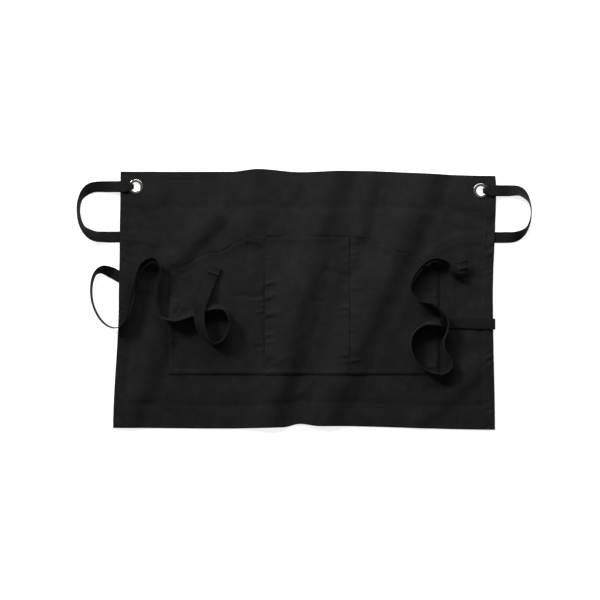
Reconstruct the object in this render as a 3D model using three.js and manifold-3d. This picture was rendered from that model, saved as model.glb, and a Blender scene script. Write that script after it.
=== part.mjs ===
// A waist apron of black twill, lying face up on a table. X runs across the apron, Y runs up to the
// waistband and Z is up. The front panel is hemmed all round, a patch pocket with three compartments is
// sewn on it, and a flat tie is looped through a metal eyelet in each upper corner.
import * as THREE from "three";
import { mergeVertices } from "three/addons/utils/BufferGeometryUtils.js";
import Module from "manifold-3d";

const wasm = await Module();
wasm.setup();

// Driving dimensions, in millimetres
const apronWidth = 750;
const apronLength = 512;
const clothThickness = 1.2;
const sideHem = 18;
const bottomHem = 40;
const waistbandDepth = 64;

const pocketWidth = 540;
const pocketDepth = 276;
const pocketAboveHem = 68;
const pocketOffCentre = -5;
const pocketFullness = 8.5;

const eyeletOutside = 29;
const eyeletHole = 17;
const eyeletInset = 31;
const eyeletDrop = 30;
const flangeRise = 1.4;
const barrelWall = 2.1;
const clenchThickness = 0.5;
const clenchReach = 3.6;
const washerThickness = 0.6;
const washerOutside = 30;

const tieWidth = 22;
const tieThickness = 1.6;
const tieDoubledLength = 60;
const tieGatheredWidth = 9;
const tieGatheredThickness = 2.6;

const foldHeight = 5.5;
const foldReach = 48;
const foldInHem = 0.5;
const settleReach = 20;
const clearance = 0.3;
const seamGap = 0.5;
const restingGap = 1;

// Shapes of the soft transitions, as shares
const crossingFade = 0.9;
const pocketArch = 0.75;
const pocketRise = 1.35;
const gatherStart = 0.7;

// How finely the faceted solids are cut
const panelStep = 19;
const pocketStep = 20;
const tieStep = 13;
const roundSides = 20;
const bendSteps = 8;

// Sizes that follow from the driving ones
const hemThickness = 2 * clothThickness;
const underTies = tieThickness + clearance;
const clenchLevel = tieThickness + clearance;
const washerLevel = clenchLevel + clenchThickness + clearance;
const eyeletClothLevel = washerLevel + washerThickness + clearance;
const flangeLevel = eyeletClothLevel + hemThickness + clearance;
const eyeletTop = flangeLevel + flangeRise;
const holeRadius = eyeletHole / 2;

// Outline: how far each edge lies from the centre, as a share of the width or of the length
const leftEdgeRows = [
  { along: -0.5, out: -0.5155 },
  { along: 0, out: -0.5005 },
  { along: 0.2, out: -0.498 },
  { along: 0.5, out: -0.4952 },
];
const rightEdgeRows = [
  { along: -0.5, out: 0.5024 },
  { along: 0, out: 0.4968 },
  { along: 0.44, out: 0.505 },
  { along: 0.5, out: 0.503 },
];
const topEdgeRows = [
  { along: -0.5, out: 0.5027 },
  { along: -0.2, out: 0.503 },
  { along: -0.127, out: 0.5137 },
  { along: -0.017, out: 0.5016 },
  { along: 0.115, out: 0.5066 },
  { along: 0.5, out: 0.4863 },
];
const bottomEdgeRows = [
  { along: -0.5, out: -0.4977 },
  { along: -0.207, out: -0.5004 },
  { along: -0.063, out: -0.4953 },
  { along: -0.017, out: -0.482 },
  { along: 0.036, out: -0.49 },
  { along: 0.5, out: -0.5047 },
];

// Folds: the crest of each soft ridge from its start past a bend to its end, as shares of the width (u)
// and of the length (v) from the centre, with the reach of its flanks as a share of the width and its
// height as a share of foldHeight
const foldRows = [
  { u: 0.084, v: 0.53, bendU: -0.004, bendV: 0.08, endU: -0.106, endV: -0.53, reach: 0.068, high: 1 },
  { u: 0.345, v: 0.53, bendU: 0.175, bendV: -0.02, endU: 0.035, endV: -0.53, reach: 0.072, high: 1 },
  { u: -0.143, v: 0.53, bendU: -0.147, bendV: 0.4, endU: -0.155, endV: 0.27, reach: 0.075, high: 0.65 },
  { u: -0.24, v: 0.33, bendU: -0.3, bendV: 0.24, endU: -0.35, endV: 0.15, reach: 0.055, high: 0.55 },
  { u: -0.36, v: -0.08, bendU: -0.41, bendV: -0.24, endU: -0.47, endV: -0.47, reach: 0.06, high: 0.6 },
  { u: 0.178, v: 0.48, bendU: 0.16, bendV: 0.38, endU: 0.143, endV: 0.26, reach: 0.042, high: 0.4 },
  { u: 0.455, v: -0.27, bendU: 0.38, bendV: -0.37, endU: 0.303, endV: -0.47, reach: 0.055, high: 0.45 },
];

// Where a tie passes under a side edge: side, and the share of the length from the centre
const tieCrossingRows = [
  { side: -1, v: 0.248 },
  { side: -1, v: 0.092 },
  { side: 1, v: 0.246 },
  { side: 1, v: -0.092 },
];

// The pocket's upper edge, as shares of its width and of its depth below its top
const pocketTopRows = [
  { across: 0, drop: 0.246 },
  { across: 0.173, drop: 0.112 },
  { across: 0.3, drop: 0.004 },
  { across: 0.353, drop: 0 },
  { across: 0.669, drop: 0 },
  { across: 0.72, drop: 0.016 },
  { across: 0.86, drop: 0.112 },
  { across: 1, drop: 0.246 },
];
const pocketSeams = [0, 0.353, 0.669, 1];

// The route of each tie after its eyelet, as shares of the apron's width (u) and length (v) from the
// centre. Lean is the turn of the tape about its own run, 0 lying flat and 90 standing on its edge. Lift
// is how far its lowest edge is held above what it lies on, in tie widths.
const leftOutboardRows = [
  { u: -0.575, v: 0.438, lean: 25, lift: 0 },
  { u: -0.6, v: 0.4, lean: 75, lift: 0 },
  { u: -0.606, v: 0.345, lean: 82, lift: 0 },
  { u: -0.595, v: 0.285, lean: 72, lift: 0 },
  { u: -0.568, v: 0.253, lean: 25, lift: 0 },
  { u: -0.535, v: 0.248, lean: 0, lift: 0 },
];
const leftUnderRows = [
  { u: -0.49, v: 0.248, lean: 0, lift: 0 },
  { u: -0.43, v: 0.246, lean: 0, lift: 0 },
  { u: -0.38, v: 0.225, lean: 0, lift: 0 },
  { u: -0.352, v: 0.16, lean: 0, lift: 0 },
  { u: -0.365, v: 0.09, lean: 0, lift: 0 },
  { u: -0.41, v: 0.05, lean: 0, lift: 0 },
  { u: -0.455, v: 0.06, lean: 0, lift: 0 },
  { u: -0.5, v: 0.093, lean: 0, lift: 0 },
  { u: -0.518, v: 0.108, lean: 0, lift: 0 },
];
const leftOverRows = [
  { u: -0.543, v: 0.12, lean: 45, lift: 0 },
  { u: -0.561, v: 0.105, lean: 80, lift: 0 },
  { u: -0.571, v: 0.06, lean: 86, lift: 0 },
  { u: -0.568, v: -0.01, lean: 88, lift: 0 },
  { u: -0.55, v: -0.068, lean: 88, lift: 0 },
  { u: -0.526, v: -0.1, lean: 88, lift: 0 },
  { u: -0.499, v: -0.104, lean: 88, lift: 0 },
  { u: -0.477, v: -0.065, lean: 92, lift: 0 },
  { u: -0.468, v: -0.005, lean: 95, lift: 0 },
  { u: -0.453, v: 0.08, lean: 98, lift: 0 },
  { u: -0.435, v: 0.139, lean: 110, lift: 0 },
  { u: -0.407, v: 0.16, lean: 108, lift: 0 },
  { u: -0.388, v: 0.132, lean: 98, lift: 0 },
  { u: -0.395, v: 0.06, lean: 92, lift: 0 },
  { u: -0.399, v: -0.01, lean: 90, lift: 0 },
  { u: -0.389, v: -0.057, lean: 88, lift: 0 },
  { u: -0.352, v: -0.076, lean: 80, lift: 0 },
  { u: -0.305, v: -0.05, lean: 52, lift: 0 },
  { u: -0.255, v: -0.024, lean: 52, lift: 0 },
  { u: -0.218, v: -0.033, lean: 78, lift: 0 },
  { u: -0.205, v: -0.08, lean: 90, lift: 0 },
  { u: -0.22, v: -0.148, lean: 95, lift: 0 },
  { u: -0.248, v: -0.166, lean: 88, lift: 0 },
  { u: -0.272, v: -0.135, lean: 52, lift: 0.35 },
  { u: -0.283, v: -0.08, lean: 15, lift: 0.82 },
  { u: -0.281, v: -0.025, lean: 2, lift: 0.86 },
  { u: -0.271, v: 0.02, lean: 0, lift: 0.58 },
  { u: -0.257, v: 0.07, lean: 0, lift: 0.2 },
  { u: -0.241, v: 0.132, lean: 0, lift: 0 },
];
const rightOutboardRows = [
  { u: 0.568, v: 0.425, lean: 25, lift: 0 },
  { u: 0.592, v: 0.385, lean: 75, lift: 0 },
  { u: 0.597, v: 0.335, lean: 82, lift: 0 },
  { u: 0.586, v: 0.28, lean: 72, lift: 0 },
  { u: 0.558, v: 0.25, lean: 25, lift: 0 },
  { u: 0.525, v: 0.246, lean: 0, lift: 0 },
];
const rightUnderRows = [
  { u: 0.48, v: 0.246, lean: 0, lift: 0 },
  { u: 0.4, v: 0.24, lean: 0, lift: 0 },
  { u: 0.338, v: 0.19, lean: 0, lift: 0 },
  { u: 0.312, v: 0.09, lean: 0, lift: 0 },
  { u: 0.33, v: -0.01, lean: 0, lift: 0 },
  { u: 0.38, v: -0.075, lean: 0, lift: 0 },
  { u: 0.45, v: -0.092, lean: 0, lift: 0 },
];
const rightOverRows = [
  { u: 0.46, v: -0.09, lean: 0, lift: 0 },
  { u: 0.41, v: -0.087, lean: 0, lift: 0 },
  { u: 0.372, v: -0.087, lean: 0, lift: 0 },
  { u: 0.342, v: -0.084, lean: 55, lift: 0 },
  { u: 0.31, v: -0.094, lean: 84, lift: 0 },
  { u: 0.284, v: -0.127, lean: 88, lift: 0 },
  { u: 0.277, v: -0.17, lean: 90, lift: 0 },
  { u: 0.286, v: -0.222, lean: 92, lift: 0 },
  { u: 0.311, v: -0.264, lean: 92, lift: 0 },
  { u: 0.346, v: -0.284, lean: 90, lift: 0 },
  { u: 0.378, v: -0.272, lean: 88, lift: 0 },
  { u: 0.387, v: -0.24, lean: 88, lift: 0 },
  { u: 0.37, v: -0.198, lean: 90, lift: 0 },
  { u: 0.363, v: -0.16, lean: 92, lift: 0.04 },
  { u: 0.373, v: -0.12, lean: 92, lift: 0.12 },
  { u: 0.377, v: -0.085, lean: 90, lift: 0.14 },
  { u: 0.364, v: -0.048, lean: 90, lift: 0.1 },
  { u: 0.335, v: -0.013, lean: 90, lift: 0 },
  { u: 0.296, v: 0.003, lean: 86, lift: 0 },
  { u: 0.276, v: 0.05, lean: 84, lift: 0 },
  { u: 0.286, v: 0.093, lean: 80, lift: 0 },
  { u: 0.314, v: 0.141, lean: 76, lift: 0 },
  { u: 0.343, v: 0.16, lean: 78, lift: 0 },
  { u: 0.375, v: 0.142, lean: 74, lift: 0 },
  { u: 0.388, v: 0.11, lean: 64, lift: 0 },
  { u: 0.403, v: 0.093, lean: 56, lift: 0 },
  { u: 0.4175, v: 0.103, lean: 42, lift: 0.1 },
  { u: 0.415, v: 0.13, lean: 12, lift: 0.3 },
  { u: 0.412, v: 0.155, lean: 0, lift: 0.38 },
];

const clothMaterial = new THREE.MeshStandardMaterial({ color: 0x222222, roughness: 0.92, metalness: 0 });
const tieMaterial = new THREE.MeshStandardMaterial({ color: 0x1b1b1b, roughness: 0.88, metalness: 0 });
const nickelMaterial = new THREE.MeshStandardMaterial({ color: 0xc9c4bb, roughness: 0.22, metalness: 1 });

// A soft step from 0 to 1 as share goes from 0 to 1.
function ease(share) {
  const s = THREE.MathUtils.clamp(share, 0, 1);
  return s * s * (3 - 2 * s);
}

// The value of one column of a table at a place given in another, eased between its rows.
function follow(rows, placeColumn, valueColumn, place) {
  const next = rows.findIndex((row) => row[placeColumn] > place);
  if (next === 0) return rows[0][valueColumn];
  if (next < 0) return rows[rows.length - 1][valueColumn];
  const before = rows[next - 1];
  const after = rows[next];
  const share = (place - before[placeColumn]) / (after[placeColumn] - before[placeColumn]);
  return THREE.MathUtils.lerp(before[valueColumn], after[valueColumn], ease(share));
}

// Grid lines from 0 to length, with one line at each given depth from the two ends.
function gridLines(length, firstStrip, lastStrip, step) {
  const start = firstStrip;
  const end = length - lastStrip;
  const count = Math.max(2, Math.round((end - start) / step));
  const lines = firstStrip > 0 ? [0] : [];
  for (let i = 0; i <= count; i++) lines.push(start + ((end - start) * i) / count);
  if (lastStrip > 0) lines.push(length);
  return lines.map((line) => line / length);
}

// Outline of the panel
const leftEdge = (y) => apronWidth * follow(leftEdgeRows, "along", "out", y / apronLength);
const rightEdge = (y) => apronWidth * follow(rightEdgeRows, "along", "out", y / apronLength);
const topEdge = (x) => apronLength * follow(topEdgeRows, "along", "out", x / apronWidth);
const bottomEdge = (x) => apronLength * follow(bottomEdgeRows, "along", "out", x / apronWidth);

// The place in the panel at a share across and a share along.
function panelPlace(across, along) {
  let x = (across - 0.5) * apronWidth;
  let y = (along - 0.5) * apronLength;
  for (let round = 0; round < 4; round++) {
    x = THREE.MathUtils.lerp(leftEdge(y), rightEdge(y), across);
    y = THREE.MathUtils.lerp(bottomEdge(x), topEdge(x), along);
  }
  return { x, y };
}

// How far a place lies inside the panel's nearest side, top and bottom edge.
function insets(x, y) {
  return {
    side: Math.min(x - leftEdge(y), rightEdge(y) - x),
    top: topEdge(x) - y,
    bottom: y - bottomEdge(x),
  };
}

// Distance from a place to a straight line between two ends.
function lineDistance(x, y, x1, y1, x2, y2) {
  const runX = x2 - x1;
  const runY = y2 - y1;
  const share = ((x - x1) * runX + (y - y1) * runY) / (runX * runX + runY * runY);
  const s = THREE.MathUtils.clamp(share, 0, 1);
  return Math.hypot(x - x1 - s * runX, y - y1 - s * runY);
}

// The height of the soft folds at a place.
function foldAt(x, y) {
  let height = 0;
  for (const fold of foldRows) {
    const startX = fold.u * apronWidth;
    const startY = fold.v * apronLength;
    const bendX = fold.bendU * apronWidth;
    const bendY = fold.bendV * apronLength;
    const endX = fold.endU * apronWidth;
    const endY = fold.endV * apronLength;
    const distance = Math.min(
      lineDistance(x, y, startX, startY, bendX, bendY),
      lineDistance(x, y, bendX, bendY, endX, endY),
    );
    height += foldHeight * fold.high * ease(1 - distance / (fold.reach * apronWidth));
  }
  return height;
}

// Eyelets sit in from the side edges and down from the top edge.
const eyeletY = (x) => topEdge(x) - eyeletDrop;
const eyeletAtEdge = (edge, inward) => {
  let x = edge(apronLength / 2) + inward;
  for (let round = 0; round < 4; round++) x = edge(eyeletY(x)) + inward;
  return { x, y: eyeletY(x) };
};
const leftEyelet = eyeletAtEdge(leftEdge, eyeletInset);
const rightEyelet = eyeletAtEdge(rightEdge, -eyeletInset);

// The back of the panel: flat on the table along the hems, held up by the ties that lie under it and by
// the backs of the eyelets, and raised by the folds elsewhere.
const raisedFlat = eyeletInset + panelStep / 2;
const raisedFade = 2 * panelStep;
function panelBack(x, y) {
  const inset = insets(x, y);
  const freed = (reach) =>
    ease((inset.side - sideHem) / reach) *
    ease((inset.top - waistbandDepth) / reach) *
    ease((inset.bottom - bottomHem) / reach);
  const foldShare = THREE.MathUtils.lerp(foldInHem, 1, freed(foldReach));
  let back = underTies * freed(settleReach) + foldAt(x, y) * foldShare;
  for (const eyelet of [leftEyelet, rightEyelet]) {
    const distance = Math.hypot(x - eyelet.x, y - eyelet.y);
    const lift = eyeletClothLevel * ease(1 - (distance - raisedFlat) / raisedFade);
    back = Math.max(back, lift);
  }
  for (const crossing of tieCrossingRows) {
    const edge = crossing.side < 0 ? leftEdge(y) : rightEdge(y);
    const inward = Math.abs(x - edge) / (sideHem + foldReach);
    const apart = Math.abs(y - crossing.v * apronLength) / (tieWidth / 2 + panelStep);
    const lift = underTies * ease(1 - (Math.hypot(inward, apart) - 1) / crossingFade);
    back = Math.max(back, lift);
  }
  return back;
}

// The panel's cloth is doubled in the hems and the waistband.
function panelThickness(x, y) {
  const inset = insets(x, y);
  const nearness = 1e-6;
  const inHem =
    inset.side < sideHem + nearness ||
    inset.bottom < bottomHem + nearness ||
    inset.top < waistbandDepth + nearness;
  return inHem ? hemThickness : clothThickness;
}
const panelFront = (x, y) => panelBack(x, y) + panelThickness(x, y);

// The pocket's place on the panel, at a share across and a share along from its bottom seam to its mouth.
const pocketBottomY = -apronLength / 2 + bottomHem + pocketAboveHem;
const pocketTopY = (across) =>
  pocketBottomY + pocketDepth * (1 - follow(pocketTopRows, "across", "drop", across));
const pocketLeftX = pocketOffCentre - pocketWidth / 2;
function pocketPlace(across, along) {
  return {
    x: pocketLeftX + across * pocketWidth,
    y: THREE.MathUtils.lerp(pocketBottomY, pocketTopY(across), along),
  };
}

// How far the pocket stands off the panel: nothing along its seams, most in the middle of each mouth.
function pocketStandOff(across, along) {
  const seam = pocketSeams.findIndex((at) => at >= across - 1e-9);
  const right = pocketSeams[Math.max(seam, 1)];
  const left = pocketSeams[Math.max(seam, 1) - 1];
  const between = THREE.MathUtils.clamp((across - left) / (right - left), 0, 1);
  const arch = Math.sin(Math.PI * between) ** pocketArch;
  const rise = Math.sin((Math.PI / 2) * Math.min(1, along * pocketRise));
  return seamGap + pocketFullness * arch * rise;
}
const pocketBack = (x, y, across, along) => panelFront(x, y) + pocketStandOff(across, along);
const pocketFront = (x, y, across, along) => pocketBack(x, y, across, along) + clothThickness;

// The highest cloth at a place: the pocket where there is one, the panel's front, or the bare table.
function clothTop(x, y) {
  const inset = insets(x, y);
  if (Math.min(inset.side, inset.top, inset.bottom) < 0) return 0;
  const across = (x - pocketLeftX) / pocketWidth;
  if (across < 0 || across > 1) return panelFront(x, y);
  const along = (y - pocketBottomY) / (pocketTopY(across) - pocketBottomY);
  if (along < 0 || along > 1) return panelFront(x, y);
  return pocketFront(x, y, across, along);
}

// The height on which a tie rests at a place: the highest cloth within half a tie's width of it.
function bedHeight(x, y) {
  let highest = clothTop(x, y);
  for (let turn = 0; turn < 8; turn++) {
    const angle = (turn * Math.PI) / 4;
    for (const reach of [tieWidth / 4, tieWidth / 2]) {
      highest = Math.max(highest, clothTop(x + reach * Math.cos(angle), y + reach * Math.sin(angle)));
    }
  }
  return highest;
}

// A closed geometry from its points and the corners of its triangles.
function closedGeometry(positions, corners) {
  const geometry = new THREE.BufferGeometry();
  geometry.setAttribute("position", new THREE.Float32BufferAttribute(positions, 3));
  geometry.setIndex(corners);
  geometry.computeVertexNormals();
  return geometry;
}

// A sheet of cloth: the space between a lower and an upper height over a grid.
function sheetGeometry(acrossLines, alongLines, place, lower, upper) {
  const positions = [];
  for (const height of [lower, upper]) {
    for (const along of alongLines) {
      for (const across of acrossLines) {
        const { x, y } = place(across, along);
        positions.push(x, y, height(x, y, across, along));
      }
    }
  }
  const columns = acrossLines.length;
  const rows = alongLines.length;
  const point = (layer, row, column) => (layer * rows + row) * columns + column;
  const corners = [];
  const quad = (a, b, c, d) => corners.push(a, b, c, a, c, d);
  for (let row = 0; row < rows - 1; row++) {
    for (let column = 0; column < columns - 1; column++) {
      quad(
        point(1, row, column),
        point(1, row, column + 1),
        point(1, row + 1, column + 1),
        point(1, row + 1, column),
      );
      quad(
        point(0, row, column),
        point(0, row + 1, column),
        point(0, row + 1, column + 1),
        point(0, row, column + 1),
      );
    }
  }
  for (let column = 0; column < columns - 1; column++) {
    quad(point(0, 0, column), point(0, 0, column + 1), point(1, 0, column + 1), point(1, 0, column));
    const last = rows - 1;
    quad(
      point(0, last, column + 1),
      point(0, last, column),
      point(1, last, column),
      point(1, last, column + 1),
    );
  }
  for (let row = 0; row < rows - 1; row++) {
    quad(point(0, row + 1, 0), point(0, row, 0), point(1, row, 0), point(1, row + 1, 0));
    const last = columns - 1;
    quad(point(0, row, last), point(0, row + 1, last), point(1, row + 1, last), point(1, row, last));
  }
  return closedGeometry(positions, corners);
}

// Joining and cutting of closed geometries
function solidFrom(geometry) {
  const bare = geometry.clone();
  bare.deleteAttribute("normal");
  if (bare.getAttribute("uv")) bare.deleteAttribute("uv");
  const merged = mergeVertices(bare, 1e-4);
  const vertProperties = Float32Array.from(merged.attributes.position.array);
  const triVerts = Uint32Array.from(merged.index.array);
  return new wasm.Manifold(new wasm.Mesh({ numProp: 3, vertProperties, triVerts }));
}
function geometryFrom(solid) {
  const mesh = solid.getMesh();
  return closedGeometry(Array.from(mesh.vertProperties), Array.from(mesh.triVerts));
}

// A round piece turned about a vertical axis, from a closed profile of radius and height.
function turned(profile, centre) {
  const points = profile.map(([radius, height]) => new THREE.Vector2(radius, height));
  points.push(points[0].clone());
  const geometry = new THREE.LatheGeometry(points, roundSides);
  geometry.rotateX(Math.PI / 2);
  geometry.translate(centre.x, centre.y, 0);
  return geometry;
}

// The front half of an eyelet: a domed flange, a barrel with a rounded bore and the edge clenched over
// the washer behind.
const noseRadius = (eyeletTop - clenchLevel) / 2;
const noseCentre = holeRadius + noseRadius;
const barrelRadius = holeRadius + barrelWall;
function eyeletGeometry(centre) {
  const profile = [];
  for (let step = 0; step <= bendSteps; step++) {
    const angle = Math.PI / 2 + (Math.PI * step) / bendSteps;
    const radius = noseCentre + noseRadius * Math.cos(angle);
    profile.push([radius, clenchLevel + noseRadius + noseRadius * Math.sin(angle)]);
  }
  const clenchEdge = Math.max(holeRadius + clenchReach, noseCentre + clenchThickness);
  profile.push([clenchEdge, clenchLevel + clenchThickness / 2]);
  profile.push([clenchEdge, clenchLevel + clenchThickness]);
  profile.push([barrelRadius, clenchLevel + clenchThickness]);
  profile.push([barrelRadius, flangeLevel]);
  profile.push([eyeletOutside / 2, flangeLevel]);
  profile.push([eyeletOutside / 2 - flangeRise / 2, flangeLevel + 0.75 * flangeRise]);
  return turned(profile, centre);
}
function washerGeometry(centre) {
  const inside = barrelRadius + clearance;
  const outside = washerOutside / 2;
  const top = washerLevel + washerThickness;
  return turned(
    [
      [inside, washerLevel],
      [outside, washerLevel],
      [outside, top],
      [inside, top],
    ],
    centre,
  );
}

// The panel is cut through for each eyelet's barrel.
function panelGeometry() {
  const across = gridLines(apronWidth, sideHem, sideHem, panelStep);
  const along = gridLines(apronLength, bottomHem, waistbandDepth, panelStep);
  let panel = solidFrom(sheetGeometry(across, along, panelPlace, panelBack, panelFront));
  const cut = barrelRadius + clearance;
  for (const centre of [leftEyelet, rightEyelet]) {
    const bore = [
      [0, -1],
      [cut, -1],
      [cut, 2 * eyeletTop],
      [0, 2 * eyeletTop],
    ];
    const points = bore.map(([radius, height]) => new THREE.Vector2(radius, height));
    const cutter = new THREE.LatheGeometry(points, roundSides);
    cutter.rotateX(Math.PI / 2);
    cutter.translate(centre.x, centre.y, 0);
    panel = panel.subtract(solidFrom(cutter));
  }
  return geometryFrom(panel);
}

// The pocket's grid has a line on each seam between its compartments.
function pocketGeometry() {
  const across = [0];
  for (let seam = 1; seam < pocketSeams.length; seam++) {
    const from = pocketSeams[seam - 1];
    const width = pocketSeams[seam] - from;
    const count = Math.max(4, Math.round((width * pocketWidth) / pocketStep));
    for (let i = 1; i <= count; i++) across.push(from + (width * i) / count);
  }
  const count = Math.max(4, Math.round(pocketDepth / pocketStep));
  const along = [];
  for (let i = 0; i <= count; i++) along.push(i / count);
  return sheetGeometry(across, along, pocketPlace, pocketBack, pocketFront);
}

// A half turn of a tie about a level axis, from the side it comes from to the side it goes back to.
function halfTurn({ x, y, from, to, reach, outward, width, thickness }) {
  const stations = [];
  for (let step = 0; step <= bendSteps; step++) {
    const angle = (Math.PI * step) / bendSteps;
    const share = Math.sin(angle);
    stations.push({
      x: x + outward * reach * share,
      y,
      z: (from + to) / 2 + ((from - to) / 2) * Math.cos(angle),
      lean: 0,
      width: THREE.MathUtils.lerp(tieWidth, width, gatherStart + (1 - gatherStart) * share),
      thickness: THREE.MathUtils.lerp(tieThickness, thickness, share),
    });
  }
  return stations;
}

// The start of a tie: its sewn-back end under the corner, up through the eyelet, and out over the front.
function eyeletStart(centre, outward) {
  const flat = { y: centre.y, lean: 0, width: tieWidth, thickness: tieThickness };
  const backLevel = tieThickness / 2;
  const frontLevel = eyeletTop + restingGap + tieThickness / 2;
  const reach = (frontLevel - backLevel) / 2;
  const halfGathered = tieGatheredWidth / 2 + restingGap;
  const face = Math.sqrt(holeRadius * holeRadius - halfGathered * halfGathered);
  const bendX = centre.x + outward * (face - tieGatheredThickness / 2 + reach);
  const clothEdge = centre.x + outward * eyeletInset;
  const clothLevel = eyeletClothLevel + hemThickness + restingGap + tieThickness / 2;
  const overSewn = tieThickness + clearance + tieThickness / 2 + clearance;
  return [
    { ...flat, x: centre.x + outward * tieDoubledLength, z: backLevel },
    { ...flat, x: centre.x + outward * (eyeletInset + tieWidth / 2), z: backLevel },
    { ...flat, x: centre.x + outward * (eyeletOutside / 2 + tieWidth / 4), z: backLevel },
    ...halfTurn({
      x: bendX,
      y: centre.y,
      from: backLevel,
      to: frontLevel,
      reach,
      outward: -outward,
      width: tieGatheredWidth,
      thickness: tieGatheredThickness,
    }),
    { ...flat, x: centre.x + outward * (eyeletOutside / 2 + tieWidth / 4), z: frontLevel },
    { ...flat, x: clothEdge + outward * restingGap, z: clothLevel },
    { ...flat, x: clothEdge + outward * (tieWidth / 2), z: (clothLevel + overSewn) / 2 },
    { ...flat, x: centre.x + outward * (tieDoubledLength - tieWidth / 4), z: overSewn },
  ];
}

// Stations from the rows of a route that lies on the table or over the cloth.
function routeStations(rows, overCloth) {
  return rows.map((row) => ({
    x: row.u * apronWidth,
    y: row.v * apronLength,
    lean: row.lean,
    lift: row.lift,
    overCloth,
    width: tieWidth,
    thickness: tieThickness,
  }));
}

// The height of a tie's middle above what it lies on.
function stationHeight(station) {
  const lean = THREE.MathUtils.degToRad(station.lean);
  const half =
    (station.width / 2) * Math.abs(Math.sin(lean)) + (station.thickness / 2) * Math.abs(Math.cos(lean));
  const bed = station.overCloth ? bedHeight(station.x, station.y) + restingGap : 0;
  return bed + station.lift * tieWidth + half;
}

// A tie: a flat tape swept through its stations.
function tieGeometry(stations) {
  const placed = stations.map((station) => ({
    ...station,
    z: station.z ?? stationHeight(station),
    loose: station.z === undefined,
  }));
  const curve = new THREE.CatmullRomCurve3(
    placed.map(({ x, y, z }) => new THREE.Vector3(x, y, z)),
    false,
    "centripetal",
  );
  const dense = [];
  for (let i = 0; i < placed.length - 1; i++) {
    const here = placed[i];
    const next = placed[i + 1];
    const distance = Math.hypot(next.x - here.x, next.y - here.y, next.z - here.z);
    const pieces = Math.max(1, Math.ceil(distance / tieStep));
    for (let piece = 0; piece < pieces; piece++) {
      const share = piece / pieces;
      const at = curve.getPoint((i + share) / (placed.length - 1));
      const mix = (column) => THREE.MathUtils.lerp(here[column], next[column], share);
      const station = {
        lean: mix("lean"),
        width: mix("width"),
        thickness: mix("thickness"),
        overCloth: here.overCloth,
        x: at.x,
        y: at.y,
      };
      const resting = stationHeight({ ...station, lift: mix("lift") || 0 });
      const both = here.loose && next.loose && here.overCloth === next.overCloth;
      if (both) station.z = resting;
      else if (here.loose || next.loose) station.z = Math.max(at.z, stationHeight({ ...station, lift: 0 }));
      else station.z = at.z;
      dense.push(station);
    }
  }
  dense.push(placed[placed.length - 1]);
  return sweptTape(dense);
}

// The solid of a flat tape through its dense stations.
function sweptTape(stations) {
  const points = stations.map(({ x, y, z }) => new THREE.Vector3(x, y, z));
  const worldUp = new THREE.Vector3(0, 0, 1);
  let level = null;
  const positions = [];
  points.forEach((point, i) => {
    const before = points[Math.max(0, i - 1)];
    const after = points[Math.min(points.length - 1, i + 1)];
    const along = after.clone().sub(before).normalize();
    const sideways = new THREE.Vector3(-along.y, along.x, 0);
    if (sideways.length() > 0.05 || !level) {
      sideways.normalize();
      if (level && level.dot(sideways) < 0) sideways.negate();
      level = sideways;
    }
    const lean = THREE.MathUtils.degToRad(stations[i].lean);
    const up = worldUp.clone().addScaledVector(along, -along.z).normalize();
    const wide = level.clone().multiplyScalar(Math.cos(lean));
    if (Math.abs(Math.sin(lean)) > 1e-6) wide.addScaledVector(up, Math.sin(lean));
    wide.addScaledVector(along, -wide.dot(along)).normalize();
    const thick = along.clone().cross(wide).normalize();
    const halfWidth = stations[i].width / 2;
    const halfThickness = stations[i].thickness / 2;
    for (const [across, through] of [[-1, -1], [1, -1], [1, 1], [-1, 1]]) {
      const corner = point.clone();
      corner.addScaledVector(wide, across * halfWidth);
      corner.addScaledVector(thick, through * halfThickness);
      positions.push(corner.x, corner.y, corner.z);
    }
  });
  const corners = [];
  for (let i = 0; i < points.length - 1; i++) {
    for (let side = 0; side < 4; side++) {
      const a = 4 * i + side;
      const b = 4 * i + ((side + 1) % 4);
      corners.push(a, b, b + 4, a, b + 4, a + 4);
    }
  }
  const last = 4 * (points.length - 1);
  corners.push(0, 2, 1, 0, 3, 2);
  corners.push(last, last + 1, last + 2, last, last + 2, last + 3);
  return closedGeometry(positions, corners);
}

function leftTieGeometry() {
  return tieGeometry([
    ...eyeletStart(leftEyelet, -1),
    ...routeStations(leftOutboardRows, false),
    ...routeStations(leftUnderRows, false),
    ...routeStations(leftOverRows, true),
  ]);
}

// The right tie comes out from under the panel, turns round its edge and lies back over the front.
function rightTieGeometry() {
  const fold = tieCrossingRows[3];
  const y = fold.v * apronLength;
  const edgeX = rightEdge(y);
  const from = tieThickness / 2;
  const to = bedHeight(edgeX - tieWidth, y) + restingGap + tieThickness / 2;
  return tieGeometry([
    ...eyeletStart(rightEyelet, 1),
    ...routeStations(rightOutboardRows, false),
    ...routeStations(rightUnderRows, false),
    ...halfTurn({
      x: edgeX,
      y,
      from,
      to,
      reach: (to - from) / 2 + tieThickness / 2,
      outward: 1,
      width: tieWidth,
      thickness: tieThickness,
    }),
    ...routeStations(rightOverRows, true),
  ]);
}

// The apron, with its origin under the middle of everything it covers on the table
const apron = new THREE.Group();
function addPiece(name, geometry, material) {
  const piece = new THREE.Mesh(geometry, material);
  piece.name = name;
  apron.add(piece);
}
addPiece("apron_panel", panelGeometry(), clothMaterial);
addPiece("pocket", pocketGeometry(), clothMaterial);
addPiece("eyelet_left", eyeletGeometry(leftEyelet), nickelMaterial);
addPiece("eyelet_right", eyeletGeometry(rightEyelet), nickelMaterial);
addPiece("washer_left", washerGeometry(leftEyelet), nickelMaterial);
addPiece("washer_right", washerGeometry(rightEyelet), nickelMaterial);
addPiece("tie_left", leftTieGeometry(), tieMaterial);
addPiece("tie_right", rightTieGeometry(), tieMaterial);

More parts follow.
